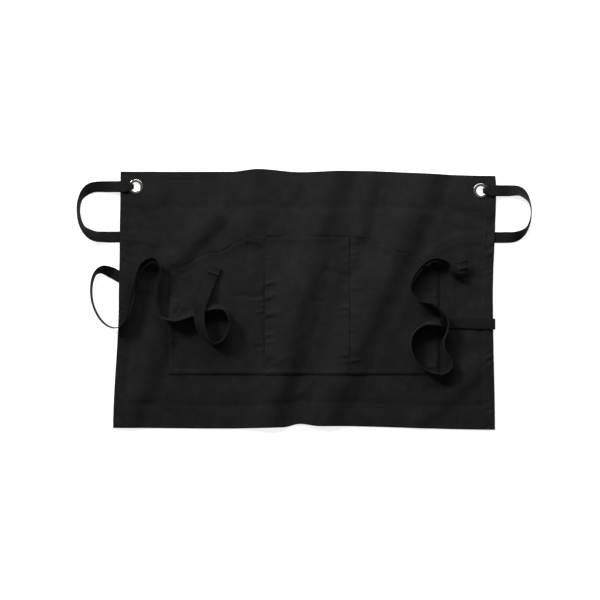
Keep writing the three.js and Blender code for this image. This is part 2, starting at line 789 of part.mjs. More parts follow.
const covered = new THREE.Box3().setFromObject(apron);
const middle = covered.getCenter(new THREE.Vector3());
apron.position.set(-middle.x, -middle.y, -covered.min.z);

export default apron;
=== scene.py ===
import math

import bmesh
import bpy
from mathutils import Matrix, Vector, noise


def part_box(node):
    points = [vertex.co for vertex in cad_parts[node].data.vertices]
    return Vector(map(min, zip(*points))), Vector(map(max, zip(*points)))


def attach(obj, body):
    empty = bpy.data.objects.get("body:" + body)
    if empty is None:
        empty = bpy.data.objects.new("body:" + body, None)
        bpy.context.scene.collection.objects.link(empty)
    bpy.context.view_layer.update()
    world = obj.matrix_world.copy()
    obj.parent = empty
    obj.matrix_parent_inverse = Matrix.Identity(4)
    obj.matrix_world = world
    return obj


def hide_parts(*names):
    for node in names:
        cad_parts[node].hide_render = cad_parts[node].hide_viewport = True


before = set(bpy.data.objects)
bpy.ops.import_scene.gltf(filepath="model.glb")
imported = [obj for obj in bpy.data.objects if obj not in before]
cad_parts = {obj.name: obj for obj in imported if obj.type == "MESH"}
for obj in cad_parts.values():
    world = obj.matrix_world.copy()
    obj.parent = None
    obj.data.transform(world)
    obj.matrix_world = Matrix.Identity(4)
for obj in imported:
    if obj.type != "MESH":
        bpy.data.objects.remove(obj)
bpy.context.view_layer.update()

# Sizes of the apron, in millimetres
APRON_WIDTH = 750
APRON_LENGTH = 512
CLOTH = 1.2
SIDE_HEM = 18
BOTTOM_HEM = 40
WAISTBAND = 64
POCKET_WIDTH = 540
POCKET_DEPTH = 276
POCKET_ABOVE_HEM = 68
POCKET_OFF_CENTRE = -5
POCKET_FULLNESS = 5
POCKET_ARCH = 0.6
POCKET_RISE = 1.35
POCKET_CLOSING = 0.6
POCKET_MOUTH_FULLNESS = 0.2
POCKET_LEAST_FRONT = 0.9
POCKET_TURN = 5
POCKET_TURN_RISE = 0.8
POCKET_MOUTH_HEM = 9
POCKET_EDGE_INSET = 3
POCKET_RIGHT_INSET = 4
EYELET_OUTSIDE = 29
EYELET_HOLE = 17
EYELET_INSET = 31
EYELET_DROP = 30
EYELET_FLAT_MARGIN = 9.5
EYELET_FLAT_FADE = 38
FLANGE_RISE = 1.4
FLANGE_RIM = 0.55
FLANGE_RIM_HALF = 0.5
FLANGE_SHOULDER = 1.3
BARREL_WALL = 2.1
CLENCH = 0.5
CLENCH_REACH = 3.6
WASHER = 0.6
WASHER_OUTSIDE = 30
WASHER_CHAMFER = 0.15
HOLE_MARGIN = 1.4
TIE_WIDTH = 22
TIE_THICKNESS = 1.6
TIE_DOUBLED_LENGTH = 60
TIE_GATHERED_WIDTH = 9
TIE_GATHERED_THICKNESS = 2.6
TIE_END_HEM = 17
FOLD_HEIGHT = 10
FOLD_LEFT_FLANK = 1.08
FOLD_RIGHT_FLANK = 0.76
FOLD_REACH = 48
FOLD_IN_HEM = 0.8
WAVES_IN_HEM = 0.35
SETTLE_REACH = 20
CLEARANCE = 0.3
SEAM_GAP = 0.3
RESTING_GAP = 1
CROSSING_MARGIN = 19
CROSSING_FADE = 0.9
GATHER_START = 0.7

# Levels that follow from those sizes, in millimetres above the table
HEM = 2 * CLOTH
UNDER_TIES = TIE_THICKNESS + CLEARANCE
CLENCH_LEVEL = UNDER_TIES
WASHER_LEVEL = CLENCH_LEVEL + CLENCH + CLEARANCE
EYELET_CLOTH_LEVEL = WASHER_LEVEL + WASHER + CLEARANCE
FLANGE_LEVEL = EYELET_CLOTH_LEVEL + HEM + CLEARANCE
EYELET_TOP = FLANGE_LEVEL + FLANGE_RISE
HOLE_RADIUS = EYELET_HOLE / 2
BARREL_RADIUS = HOLE_RADIUS + BARREL_WALL

# Sewing details, in millimetres
STITCH_PITCH = 3.5
STITCH_LENGTH = 2.7
BAR_TACK_STITCHES = 10
SHORTEST_RUN = 2
LONGEST_RUN = 6
THREAD = 0.42
THREAD_FLATNESS = 0.7
HEM_STITCH_INSET = 2
TOP_STITCH_INSET = 3
STITCH_RISE = 0.1
SIDE_ROW_BELOW = 5
SIDE_ROW_ABOVE = 15
LEVEL_ROW_INSET = 3
UPRIGHT_ROW_GAP = 2
HALF_TACK = 1.3
TACK_PITCH = 0.9
TACK_SLANT = 0.25
TACK_PLACE = 0.006
RIM_REACH = 0.9
RIM_FALL = 0.55
SIDE_HEM_STEP = 8
BOTTOM_HEM_STEP = 10
WAISTBAND_STEP = 14
GROOVE_DEPTH = 0.34
GROOVE_REACH = 2.4
# How far the painted shade reaches beside the seams, at the pocket's mouth and in the gap round the pocket
SEAM_SHADE_REACH = 1.9
MOUTH_SHADE_REACH = 2.6
GAP_SHADE_BAND = 3
PUCKER_SPACING = 19
PUCKER_HEIGHT = 1.15
PUCKER_FADE = 20
SEAM_PUCKER_SPACING = 27
SEAM_PUCKER_HEIGHT = 2.2
SEAM_PUCKER_REACH = 34
SEAM_PUCKER_END = 44.2
SEAM_PUCKER_CLIMB = 0.5
SEAM_PUCKER_DROP = 0.18
SEAM_PUCKER_SINK = 0.3
STRAP_RELIEF = 1.1
STRAP_SHOULDER = 4
STRAP_SLOPE = 7
TAPE_UNEVENNESS = 0.03
TAPE_CUP = 0.3
TAPE_END_WIDENING = 1.05
TAPE_SMOOTHING = 0.6
TAPE_SMOOTHING_PASSES = 3

# How strongly each row of stitches draws the cloth in, as a share of the groove's depth
GROOVES = {
    "side_hem": 0.7, "bottom_hem": 0.8, "waistband": 0.5, "top": 0.4, "inner_seam": 1.5, "pocket_edge": 0.6,
    "pocket_mouth": 0.35,
}

# How finely the cloth and the ties are cut, in millimetres
CLOTH_STEP = 3.4
CLOTH_SEAM_STEP = 1.2
POCKET_STEP = 2.9
POCKET_SEAM_STEP = 1
TIE_STEP = 3
TIE_END_STEP = 0.9
CLOSEST_LINES = 0.55
SPIN_STEPS = 96

METRE = 0.001

# Spacing of the patterns in the materials, in millimetres. A band wave repeats every BAND_REPEAT at scale 1.
BAND_REPEAT = 0.314
PANEL_WALES = 1.3
TIE_WALES = 1.1
WALE_ANGLE = 30
RUBBED_PATCHES = 26
THREAD_PLIES = 0.349
METAL_GRAIN = 1.111

# Yarns to a millimetre, and how many times in a millimetre each grows thicker or thinner along its run
YARN_COUNT = 1.4
YARN_CHANGES = 0.12

# Outline: how far each edge lies from the centre, as a share of the width or of the length
LEFT_EDGE = [
    {"along": -0.5, "out": -0.5155},
    {"along": 0, "out": -0.5005},
    {"along": 0.2, "out": -0.498},
    {"along": 0.5, "out": -0.4952},
]
RIGHT_EDGE = [
    {"along": -0.5, "out": 0.5024},
    {"along": 0, "out": 0.4968},
    {"along": 0.44, "out": 0.505},
    {"along": 0.5, "out": 0.503},
]
TOP_EDGE = [
    {"along": -0.5, "out": 0.5027},
    {"along": -0.2, "out": 0.503},
    {"along": -0.127, "out": 0.5137},
    {"along": -0.017, "out": 0.5016},
    {"along": 0.115, "out": 0.5066},
    {"along": 0.5, "out": 0.4863},
]
BOTTOM_EDGE = [
    {"along": -0.5, "out": -0.4977},
    {"along": -0.207, "out": -0.5004},
    {"along": -0.063, "out": -0.4953},
    {"along": -0.017, "out": -0.482},
    {"along": 0.036, "out": -0.49},
    {"along": 0.5, "out": -0.5047},
]

# Soft folds: the crest of each ridge from its start past a bend to its end, as shares of the width and
# of the length, with the reach of its flanks as a share of the width and its height as a share
FOLDS = [
    {"u": 0.084, "v": 0.53, "bend_u": -0.004, "bend_v": 0.08, "end_u": -0.106, "end_v": -0.53,
     "reach": 0.079, "high": 1},
    {"u": 0.345, "v": 0.53, "bend_u": 0.175, "bend_v": -0.02, "end_u": 0.035, "end_v": -0.53,
     "reach": 0.083, "high": 1},
    {"u": -0.143, "v": 0.53, "bend_u": -0.147, "bend_v": 0.4, "end_u": -0.155, "end_v": 0.27,
     "reach": 0.075, "high": 0.65},
    {"u": -0.24, "v": 0.33, "bend_u": -0.3, "bend_v": 0.24, "end_u": -0.35, "end_v": 0.15,
     "reach": 0.055, "high": 0.55},
    {"u": -0.36, "v": -0.08, "bend_u": -0.41, "bend_v": -0.24, "end_u": -0.47, "end_v": -0.47,
     "reach": 0.06, "high": 0.6},
    {"u": 0.178, "v": 0.48, "bend_u": 0.16, "bend_v": 0.38, "end_u": 0.143, "end_v": 0.26,
     "reach": 0.042, "high": 0.4},
    {"u": 0.455, "v": -0.27, "bend_u": 0.38, "bend_v": -0.37, "end_u": 0.303, "end_v": -0.47,
     "reach": 0.055, "high": 0.45},
]

# Waves that worn cloth keeps when it is laid out by hand, in millimetres: their spacing across and along
# the run of the soft folds, and their height. Stretch only picks another stretch of the same noise, and so
# does a lone figure in a noise's place below.
FOLD_RUN = Vector((0.385, 0.923))
WAVES = [
    {"across": 46, "along": 130, "stretch": 3.1, "high": 1.7},
    {"across": 19, "along": 52, "stretch": 8.7, "high": 0.6},
]
FINE_WAVE_SPACING = 9
FINE_WAVE_HEIGHT = 0.09

# Short creases pressed or pulled into the cloth, in millimetres from the panel's centre
CREASES = [
    {"x1": -295, "y1": 243, "x2": -213, "y2": 240, "deep": 0.7, "reach": 5},
    {"x1": -369, "y1": 189, "x2": -330, "y2": 184, "deep": 0.8, "reach": 5},
    {"x1": 9, "y1": 0, "x2": 38, "y2": -2, "deep": 0.7, "reach": 5},
    {"x1": -145, "y1": 10, "x2": -92, "y2": 8, "deep": 0.9, "reach": 8},
    {"x1": 41, "y1": 61, "x2": 87, "y2": 47, "deep": 1.1, "reach": 9},
    {"x1": -72, "y1": -129, "x2": -36, "y2": -112, "deep": -0.8, "reach": 7},
    {"x1": -13, "y1": -187, "x2": 20, "y2": -152, "deep": -0.8, "reach": 9},
    {"x1": -281, "y1": 53, "x2": -247, "y2": 46, "deep": -0.8, "reach": 7},
    {"x1": -256, "y1": -2, "x2": -248, "y2": -14, "deep": -1.1, "reach": 8},
    {"x1": 252, "y1": -140, "x2": 300, "y2": -150, "deep": 0.6, "reach": 9},
    {"x1": -335, "y1": 35, "x2": -290, "y2": 62, "deep": -0.7, "reach": 11},
    {"x1": 215, "y1": 205, "x2": 330, "y2": 176, "deep": 0.6, "reach": 14},
    {"x1": 300, "y1": 60, "x2": 352, "y2": 40, "deep": 0.7, "reach": 10},
    {"x1": -330, "y1": -205, "x2": -262, "y2": -196, "deep": 0.6, "reach": 8},
    {"x1": -215, "y1": 118, "x2": -172, "y2": 150, "deep": -0.9, "reach": 13},
]

# Where a tie passes under a side edge
CROSSINGS = [
    {"side": -1, "v": 0.248},
    {"side": -1, "v": 0.092},
    {"side": 1, "v": 0.246},
    {"side": 1, "v": -0.092},
]

# The pocket's upper edge, as shares of its width and of its depth below its top
POCKET_TOP = [
    {"across": 0, "drop": 0.246},
    {"across": 0.173, "drop": 0.112},
    {"across": 0.3, "drop": 0.004},
    {"across": 0.353, "drop": 0},
    {"across": 0.669, "drop": 0},
    {"across": 0.72, "drop": 0.016},
    {"across": 0.86, "drop": 0.112},
    {"across": 1, "drop": 0.246},
]
POCKET_SEAMS = [0, 0.353, 0.669, 1]
INNER_SEAMS = POCKET_SEAMS[1:3]
SEAM_PUCKER_SHARES = [0.35, 1, 0.7, 0.35]

# The route of each tie after its eyelet, as shares of the apron's width and length from the centre.
# Lean is the turn of the tape about its own run: 0 lies flat, 90 stands on its edge. Lift is how far its
# lowest edge is held above what it lies on, in tie widths.
LEFT_OUTBOARD = [
    {"u": -0.575, "v": 0.438, "lean": 25, "lift": 0},
    {"u": -0.6, "v": 0.4, "lean": 75, "lift": 0},
    {"u": -0.606, "v": 0.345, "lean": 82, "lift": 0},
    {"u": -0.595, "v": 0.285, "lean": 72, "lift": 0},
    {"u": -0.568, "v": 0.253, "lean": 25, "lift": 0},
    {"u": -0.535, "v": 0.248, "lean": 0, "lift": 0},
]
LEFT_UNDER = [
    {"u": -0.49, "v": 0.248, "lean": 0, "lift": 0},
    {"u": -0.43, "v": 0.246, "lean": 0, "lift": 0},
    {"u": -0.38, "v": 0.225, "lean": 0, "lift": 0},
    {"u": -0.352, "v": 0.16, "lean": 0, "lift": 0},
    {"u": -0.365, "v": 0.09, "lean": 0, "lift": 0},
    {"u": -0.41, "v": 0.05, "lean": 0, "lift": 0},
    {"u": -0.455, "v": 0.06, "lean": 0, "lift": 0},
    {"u": -0.5, "v": 0.093, "lean": 0, "lift": 0},
    {"u": -0.518, "v": 0.108, "lean": 0, "lift": 0},
]
LEFT_OVER = [
    {"u": -0.543, "v": 0.12, "lean": 45, "lift": 0},
    {"u": -0.561, "v": 0.105, "lean": 80, "lift": 0},
    {"u": -0.571, "v": 0.06, "lean": 86, "lift": 0},
    {"u": -0.568, "v": -0.01, "lean": 88, "lift": 0},
    {"u": -0.55, "v": -0.068, "lean": 88, "lift": 0},
    {"u": -0.526, "v": -0.1, "lean": 88, "lift": 0},
    {"u": -0.499, "v": -0.104, "lean": 88, "lift": 0},
    {"u": -0.477, "v": -0.065, "lean": 92, "lift": 0},
    {"u": -0.468, "v": -0.005, "lean": 95, "lift": 0},
    {"u": -0.453, "v": 0.08, "lean": 98, "lift": 0},
    {"u": -0.435, "v": 0.139, "lean": 110, "lift": 0},
    {"u": -0.407, "v": 0.16, "lean": 108, "lift": 0},
    {"u": -0.388, "v": 0.132, "lean": 98, "lift": 0},
    {"u": -0.395, "v": 0.06, "lean": 92, "lift": 0},
    {"u": -0.399, "v": -0.01, "lean": 90, "lift": 0},
    {"u": -0.389, "v": -0.057, "lean": 88, "lift": 0},
    {"u": -0.352, "v": -0.076, "lean": 80, "lift": 0},
    {"u": -0.305, "v": -0.05, "lean": 52, "lift": 0},
    {"u": -0.255, "v": -0.024, "lean": 52, "lift": 0},
    {"u": -0.218, "v": -0.033, "lean": 78, "lift": 0},
    {"u": -0.205, "v": -0.08, "lean": 90, "lift": 0},
    {"u": -0.22, "v": -0.148, "lean": 95, "lift": 0},
    {"u": -0.248, "v": -0.166, "lean": 88, "lift": 0},
    {"u": -0.272, "v": -0.135, "lean": 52, "lift": 0.35},
    {"u": -0.283, "v": -0.08, "lean": 15, "lift": 0.82},
    {"u": -0.281, "v": -0.025, "lean": 2, "lift": 0.86},
    {"u": -0.271, "v": 0.02, "lean": 0, "lift": 0.58},
    {"u": -0.257, "v": 0.07, "lean": 0, "lift": 0.2},
    {"u": -0.241, "v": 0.132, "lean": 0, "lift": 0},
]
RIGHT_OUTBOARD = [
    {"u": 0.568, "v": 0.425, "lean": 25, "lift": 0},
    {"u": 0.592, "v": 0.385, "lean": 75, "lift": 0},
    {"u": 0.597, "v": 0.335, "lean": 82, "lift": 0},
    {"u": 0.586, "v": 0.28, "lean": 72, "lift": 0},
    {"u": 0.558, "v": 0.25, "lean": 25, "lift": 0},
    {"u": 0.525, "v": 0.246, "lean": 0, "lift": 0},
]
RIGHT_UNDER = [
    {"u": 0.48, "v": 0.246, "lean": 0, "lift": 0},
    {"u": 0.4, "v": 0.24, "lean": 0, "lift": 0},
    {"u": 0.338, "v": 0.19, "lean": 0, "lift": 0},
    {"u": 0.312, "v": 0.09, "lean": 0, "lift": 0},
    {"u": 0.33, "v": -0.01, "lean": 0, "lift": 0},
    {"u": 0.38, "v": -0.075, "lean": 0, "lift": 0},
    {"u": 0.45, "v": -0.092, "lean": 0, "lift": 0},
]
RIGHT_OVER = [
    {"u": 0.46, "v": -0.09, "lean": 0, "lift": 0},
    {"u": 0.41, "v": -0.087, "lean": 0, "lift": 0},
    {"u": 0.372, "v": -0.087, "lean": 0, "lift": 0},
    {"u": 0.342, "v": -0.084, "lean": 55, "lift": 0},
    {"u": 0.31, "v": -0.094, "lean": 84, "lift": 0},
    {"u": 0.284, "v": -0.127, "lean": 88, "lift": 0},
    {"u": 0.277, "v": -0.17, "lean": 90, "lift": 0},
    {"u": 0.286, "v": -0.222, "lean": 92, "lift": 0},
    {"u": 0.311, "v": -0.264, "lean": 92, "lift": 0},
    {"u": 0.346, "v": -0.284, "lean": 90, "lift": 0},
    {"u": 0.378, "v": -0.272, "lean": 88, "lift": 0},
    {"u": 0.387, "v": -0.24, "lean": 88, "lift": 0},
    {"u": 0.37, "v": -0.198, "lean": 90, "lift": 0},
    {"u": 0.363, "v": -0.16, "lean": 92, "lift": 0.04},
    {"u": 0.373, "v": -0.12, "lean": 92, "lift": 0.12},
    {"u": 0.377, "v": -0.085, "lean": 90, "lift": 0.14},
    {"u": 0.364, "v": -0.048, "lean": 90, "lift": 0.1},
    {"u": 0.335, "v": -0.013, "lean": 90, "lift": 0},
    {"u": 0.296, "v": 0.003, "lean": 86, "lift": 0},
    {"u": 0.276, "v": 0.05, "lean": 84, "lift": 0},
    {"u": 0.286, "v": 0.093, "lean": 80, "lift": 0},
    {"u": 0.314, "v": 0.141, "lean": 76, "lift": 0},
    {"u": 0.343, "v": 0.16, "lean": 78, "lift": 0},
    {"u": 0.375, "v": 0.142, "lean": 74, "lift": 0},
    {"u": 0.388, "v": 0.11, "lean": 64, "lift": 0},
    {"u": 0.403, "v": 0.093, "lean": 56, "lift": 0},
    {"u": 0.4175, "v": 0.103, "lean": 42, "lift": 0.1},
    {"u": 0.415, "v": 0.13, "lean": 12, "lift": 0.3},
    {"u": 0.412, "v": 0.155, "lean": 0, "lift": 0.38},
]


# Small functions that the shapes share
def mix(start, end, share):
    return start + (end - start) * share


def ease(share):
    """A soft step from 0 to 1 as share goes from 0 to 1."""
    s = min(max(share, 0), 1)
    return s * s * (3 - 2 * s)


def hill(distance, reach):
    """1 at no distance, falling softly to 0 at the reach."""
    return ease(1 - abs(distance) / reach)


def follow(rows, place_column, value_column, place):
    """The value of one column of a table at a place given in another, eased between its rows."""
    before = rows[0]
    if place <= before[place_column]:
        return before[value_column]
    for after in rows[1:]:
        if after[place_column] > place:
            share = (place - before[place_column]) / (after[place_column] - before[place_column])
            return mix(before[value_column], after[value_column], ease(share))
        before = after
    return before[value_column]


def patchy(x, y, spacing, stretch):
    """Noise over the cloth, from about -1 to 1, in patches of the given spacing."""
    return noise.noise(Vector((x / spacing, y / spacing, stretch)))


def line_distance(x, y, x1, y1, x2, y2):
    """How far a place lies from the line between two others."""
    run_x, run_y = x2 - x1, y2 - y1
    share = ((x - x1) * run_x + (y - y1) * run_y) / (run_x * run_x + run_y * run_y)
    s = min(max(share, 0), 1)
    return math.hypot(x - x1 - s * run_x, y - y1 - s * run_y)


def left_edge(y):
    return APRON_WIDTH * follow(LEFT_EDGE, "along", "out", y / APRON_LENGTH)


def right_edge(y):
    return APRON_WIDTH * follow(RIGHT_EDGE, "along", "out", y / APRON_LENGTH)


def top_edge(x):
    return APRON_LENGTH * follow(TOP_EDGE, "along", "out", x / APRON_WIDTH)


def bottom_edge(x):
    return APRON_LENGTH * follow(BOTTOM_EDGE, "along", "out", x / APRON_WIDTH)


def panel_place(across, along):
    """The place in the panel at a share across and a share along, settled between its curved edges."""
    x = (across - 0.5) * APRON_WIDTH
    y = (along - 0.5) * APRON_LENGTH
    for _ in range(3):
        x = mix(left_edge(y), right_edge(y), across)
        y = mix(bottom_edge(x), top_edge(x), along)
    return x, y


def insets(x, y):
    """How far a place lies inside the nearest side, the top and the bottom edge."""
    side = min(x - left_edge(y), right_edge(y) - x)
    return side, top_edge(x) - y, y - bottom_edge(x)


FOLD_LINES = [
    (
        (fold["u"] * APRON_WIDTH, fold["v"] * APRON_LENGTH),
        (fold["bend_u"] * APRON_WIDTH, fold["bend_v"] * APRON_LENGTH),
        (fold["end_u"] * APRON_WIDTH, fold["end_v"] * APRON_LENGTH),
        fold["reach"] * APRON_WIDTH,
        FOLD_HEIGHT * fold["high"],
    )
    for fold in FOLDS
]


def fold_at(x, y):
    """The height of the soft folds at a place: each is steeper on its right flank."""
    height = 0
    for start, bend, end, reach, high in FOLD_LINES:
        distance = min(line_distance(x, y, *start, *bend), line_distance(x, y, *bend, *end))
        if distance > reach * FOLD_LEFT_FLANK:
            continue
        upper, lower = (start, bend) if y > bend[1] else (bend, end)
        run_x, run_y = lower[0] - upper[0], lower[1] - upper[1]
        to_right = (x - upper[0]) * run_y < (y - upper[1]) * run_x
        flank = reach * (FOLD_RIGHT_FLANK if to_right else FOLD_LEFT_FLANK)
        height += high * ease(1 - distance / flank)
    return height


def eyelet_at_edge(edge, inward):
    """The centre of an eyelet that is inset from a side edge and dropped from the top edge."""
    x = edge(APRON_LENGTH / 2) + inward
    for _ in range(4):
        x = edge(top_edge(x) - EYELET_DROP) + inward
    return x, top_edge(x) - EYELET_DROP


LEFT_EYELET = eyelet_at_edge(left_edge, EYELET_INSET)
RIGHT_EYELET = eyelet_at_edge(right_edge, -EYELET_INSET)

# The group's shift in the CAD model, read from where its left eyelet stands
eyelet_low, eyelet_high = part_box("eyelet_left")
SHIFT_X = (eyelet_low.x + eyelet_high.x) / 2 / METRE - LEFT_EYELET[0]
SHIFT_Y = (eyelet_low.y + eyelet_high.y) / 2 / METRE - LEFT_EYELET[1]


def in_frame(x, y, z):
    """A place in the apron's millimetres as a point of the shared frame in metres."""
    return Vector(((x + SHIFT_X) * METRE, (y + SHIFT_Y) * METRE, z * METRE))


def soft_waves(x, y):
    """The height of the cloth's waves and of its fine unevenness at a place."""
    along = x * FOLD_RUN.x + y * FOLD_RUN.y
    across = x * FOLD_RUN.y - y * FOLD_RUN.x
    height = 0
    for wave in WAVES:
        place = Vector((across / wave["across"], along / wave["along"], wave["stretch"]))
        height += wave["high"] * noise.noise(place)
    return height + FINE_WAVE_HEIGHT * patchy(x, y, FINE_WAVE_SPACING, 1.3)


RAISED_FLAT = EYELET_INSET + EYELET_FLAT_MARGIN


def panel_back(x, y):
    """The height of the panel's back: over the ties, the soft folds, the eyelets and the crossings."""
    side, top, bottom = insets(x, y)
    settled = ease((side - SIDE_HEM) / SETTLE_REACH)
    settled *= ease((top - WAISTBAND) / SETTLE_REACH) * ease((bottom - BOTTOM_HEM) / SETTLE_REACH)
    freed = ease((side - SIDE_HEM) / FOLD_REACH)
    freed *= ease((top - WAISTBAND) / FOLD_REACH) * ease((bottom - BOTTOM_HEM) / FOLD_REACH)
    back = UNDER_TIES * settled + fold_at(x, y) * mix(FOLD_IN_HEM, 1, freed)
    back = max(0, back + soft_waves(x, y) * mix(WAVES_IN_HEM, 1, settled))
    for eyelet_x, eyelet_y in (LEFT_EYELET, RIGHT_EYELET):
        distance = math.hypot(x - eyelet_x, y - eyelet_y)
        back = max(back, EYELET_CLOTH_LEVEL * ease(1 - (distance - RAISED_FLAT) / EYELET_FLAT_FADE))
        if distance < RAISED_FLAT:
            back = EYELET_CLOTH_LEVEL
    for crossing in CROSSINGS:
        edge = left_edge(y) if crossing["side"] < 0 else right_edge(y)
        inward = abs(x - edge) / (SIDE_HEM + FOLD_REACH)
        apart = abs(y - crossing["v"] * APRON_LENGTH) / (TIE_WIDTH / 2 + CROSSING_MARGIN)
        lift = UNDER_TIES * ease(1 - (math.hypot(inward, apart) - 1) / CROSSING_FADE)
        back = max(back, lift)
    return back


def panel_thickness(side, top, bottom):
    """The cloth is doubled in the hems and the waistband."""
    past_side = ease((side - SIDE_HEM + HEM_STITCH_INSET) / SIDE_HEM_STEP)
    past_bottom = ease((bottom - BOTTOM_HEM + HEM_STITCH_INSET) / BOTTOM_HEM_STEP)
    past_top = ease((top - WAISTBAND + HEM_STITCH_INSET) / WAISTBAND_STEP)
    return mix(HEM, CLOTH, min(past_side, past_bottom, past_top))


def strap_path(rows):
    """A tie's rows as places in millimetres."""
    return [(row["u"] * APRON_WIDTH, row["v"] * APRON_LENGTH) for row in rows]


HIDDEN_STRAPS = [strap_path(LEFT_UNDER[:4]), strap_path(RIGHT_UNDER[:3]), strap_path(LEFT_UNDER[5:])]


def strap_relief(x, y):
    """The slight relief of the ties that lie under the panel."""
    relief = 0
    for path in HIDDEN_STRAPS:
        distance = min(
            line_distance(x, y, *path[i], *path[i + 1]) for i in range(len(path) - 1)
        )
        if distance < TIE_WIDTH:
            relief = max(relief, ease((TIE_WIDTH / 2 + STRAP_SHOULDER - distance) / STRAP_SLOPE))
    return STRAP_RELIEF * relief


def creases(x, y):
    """The height of the short creases at a place."""
    height = 0
    for crease in CREASES:
        distance = line_distance(x, y, crease["x1"], crease["y1"], crease["x2"], crease["y2"])
        if distance < crease["reach"]:
            height -= crease["deep"] * hill(distance, crease["reach"])
    return height


def hem_puckers(side, y, which):
    """Small gathers along a side hem, where its stitches draw the cloth in."""
    fade = ease(1 - (side - SIDE_HEM * 0.4) / PUCKER_FADE)
    if fade == 0:
        return 0
    wander = noise.noise(Vector((which * 9.7, y / 43, 0.4)))
    size = max(0, 0.35 + 1.5 * noise.noise(Vector((which * 5.1, y / 30, 6.2))))
    wave = math.sin(2 * math.pi * (y / PUCKER_SPACING + 2.1 * wander + side / 46))
    uneven = 0.6 * noise.noise(Vector((side / 9, y / 8, which * 3.3)))
    return PUCKER_HEIGHT * size * (wave + uneven) * fade


def groove(distance, x, y):
    """A row of stitches pulls a narrow, uneven groove into the cloth."""
    pull = 0.75 + 0.9 * patchy(x, y, 14, 5.5)
    return -GROOVE_DEPTH * pull * hill(distance, GROOVE_REACH)


def broken(x, y, stretch):
    """How dark the painted seam shade is at a place: it fades in and out along its run."""
    return min(1, max(0.12, 0.7 + 1.5 * patchy(x, y, 24, stretch)))


def panel_detail(x, y):
    """Relief that the panel's sewing adds to its front."""
    side, top, bottom = insets(x, y)
    which = -1 if x < 0 else 1
    detail = hem_puckers(side, y, which)
    detail += 0.45 * hem_puckers(bottom * 0.6, x, 3)
    from_side_row = side - SIDE_HEM + HEM_STITCH_INSET
    from_bottom_row = bottom - BOTTOM_HEM + HEM_STITCH_INSET
    from_waist_row = top - WAISTBAND + HEM_STITCH_INSET
    if bottom > BOTTOM_HEM / 2:
        detail += GROOVES["side_hem"] * groove(from_side_row, x, y)
    detail += GROOVES["bottom_hem"] * groove(from_bottom_row, x, y)
    detail += GROOVES["waistband"] * groove(from_waist_row, x, y)
    detail += GROOVES["top"] * groove(top - TOP_STITCH_INSET, x, y)
    puff = noise.noise(Vector((x / 13, which, 2.2)))
    detail += 0.3 * puff * hill(from_bottom_row, 9) + 0.22 * puff * hill(from_waist_row, 9)
    if side > SIDE_HEM and bottom > BOTTOM_HEM:
        detail += strap_relief(x, y)
    return detail + creases(x, y)


def panel_base(x, y):
    """The panel's front without its sewing relief, on which the pocket and the ties are placed."""
    return panel_back(x, y) + panel_thickness(*insets(x, y))


def rounded_rim(inset):
    """How far a folded edge falls away within its last millimetre."""
    return -RIM_FALL * (1 - min(1, max(0, inset) / RIM_REACH)) ** 2


def panel_front(x, y):
    """The panel's front with all of its relief."""
    return panel_base(x, y) + panel_detail(x, y) + rounded_rim(min(insets(x, y)))


# The pocket, on the same seams as in the CAD model
POCKET_BOTTOM_Y = -APRON_LENGTH / 2 + BOTTOM_HEM + POCKET_ABOVE_HEM
POCKET_LEFT_X = POCKET_OFF_CENTRE - POCKET_WIDTH / 2


def pocket_top_y(across):
    """The height on the apron of the pocket's upper edge, at a share of its width."""
    return POCKET_BOTTOM_Y + POCKET_DEPTH * (1 - follow(POCKET_TOP, "across", "drop", across))


def pocket_place(across, along):
    x = POCKET_LEFT_X + across * POCKET_WIDTH
    return x, mix(POCKET_BOTTOM_Y, pocket_top_y(across), along)


def pocket_stand_off(across, along):
    """How far the pocket stands off the panel: most in the middle of each part, little at its mouth."""
    for left, right in zip(POCKET_SEAMS, POCKET_SEAMS[1:]):
        if across <= right:
            break
    between = min(max((across - left) / (right - left), 0), 1)
    arch = math.sin(math.pi * between) ** POCKET_ARCH
    rise = math.sin(math.pi / 2 * min(1, along * POCKET_RISE))
    closing = ease((along - POCKET_CLOSING) / (1 - POCKET_CLOSING))
    return SEAM_GAP + POCKET_FULLNESS * arch * rise * mix(1, POCKET_MOUTH_FULLNESS, closing)


def seam_puckers(y, distance, i):
    """Short level creases beside a seam: each rises slowly and ends in a sharp step."""
    if abs(distance) > SEAM_PUCKER_END:
        return 0
    side = 1 if distance > 0 else -1
    wander = noise.noise(Vector((i * 7.3 + side, y / 37, 0.9)))
    turn = (-y / SEAM_PUCKER_SPACING + 1.5 * wander + 0.37 * i + 0.21 * side + distance / 160) % 1
    if turn < SEAM_PUCKER_CLIMB:
        crease = turn / SEAM_PUCKER_CLIMB
    else:
        crease = (SEAM_PUCKER_CLIMB + SEAM_PUCKER_DROP - turn) / SEAM_PUCKER_DROP
    size = max(0, 0.55 + 1.5 * noise.noise(Vector((i * 3.7 + side, y / 23, 4.4))))
    reach = SEAM_PUCKER_REACH * max(0.3, 0.8 + 1.1 * noise.noise(Vector((i * 2.9 - side, y / 16, 7.1))))
    fade = ease(1.15 - abs(distance) / reach) * ease(abs(distance) / 4)
    return SEAM_PUCKER_HEIGHT * SEAM_PUCKER_SHARES[i] * size * fade * (ease(crease) - SEAM_PUCKER_SINK)


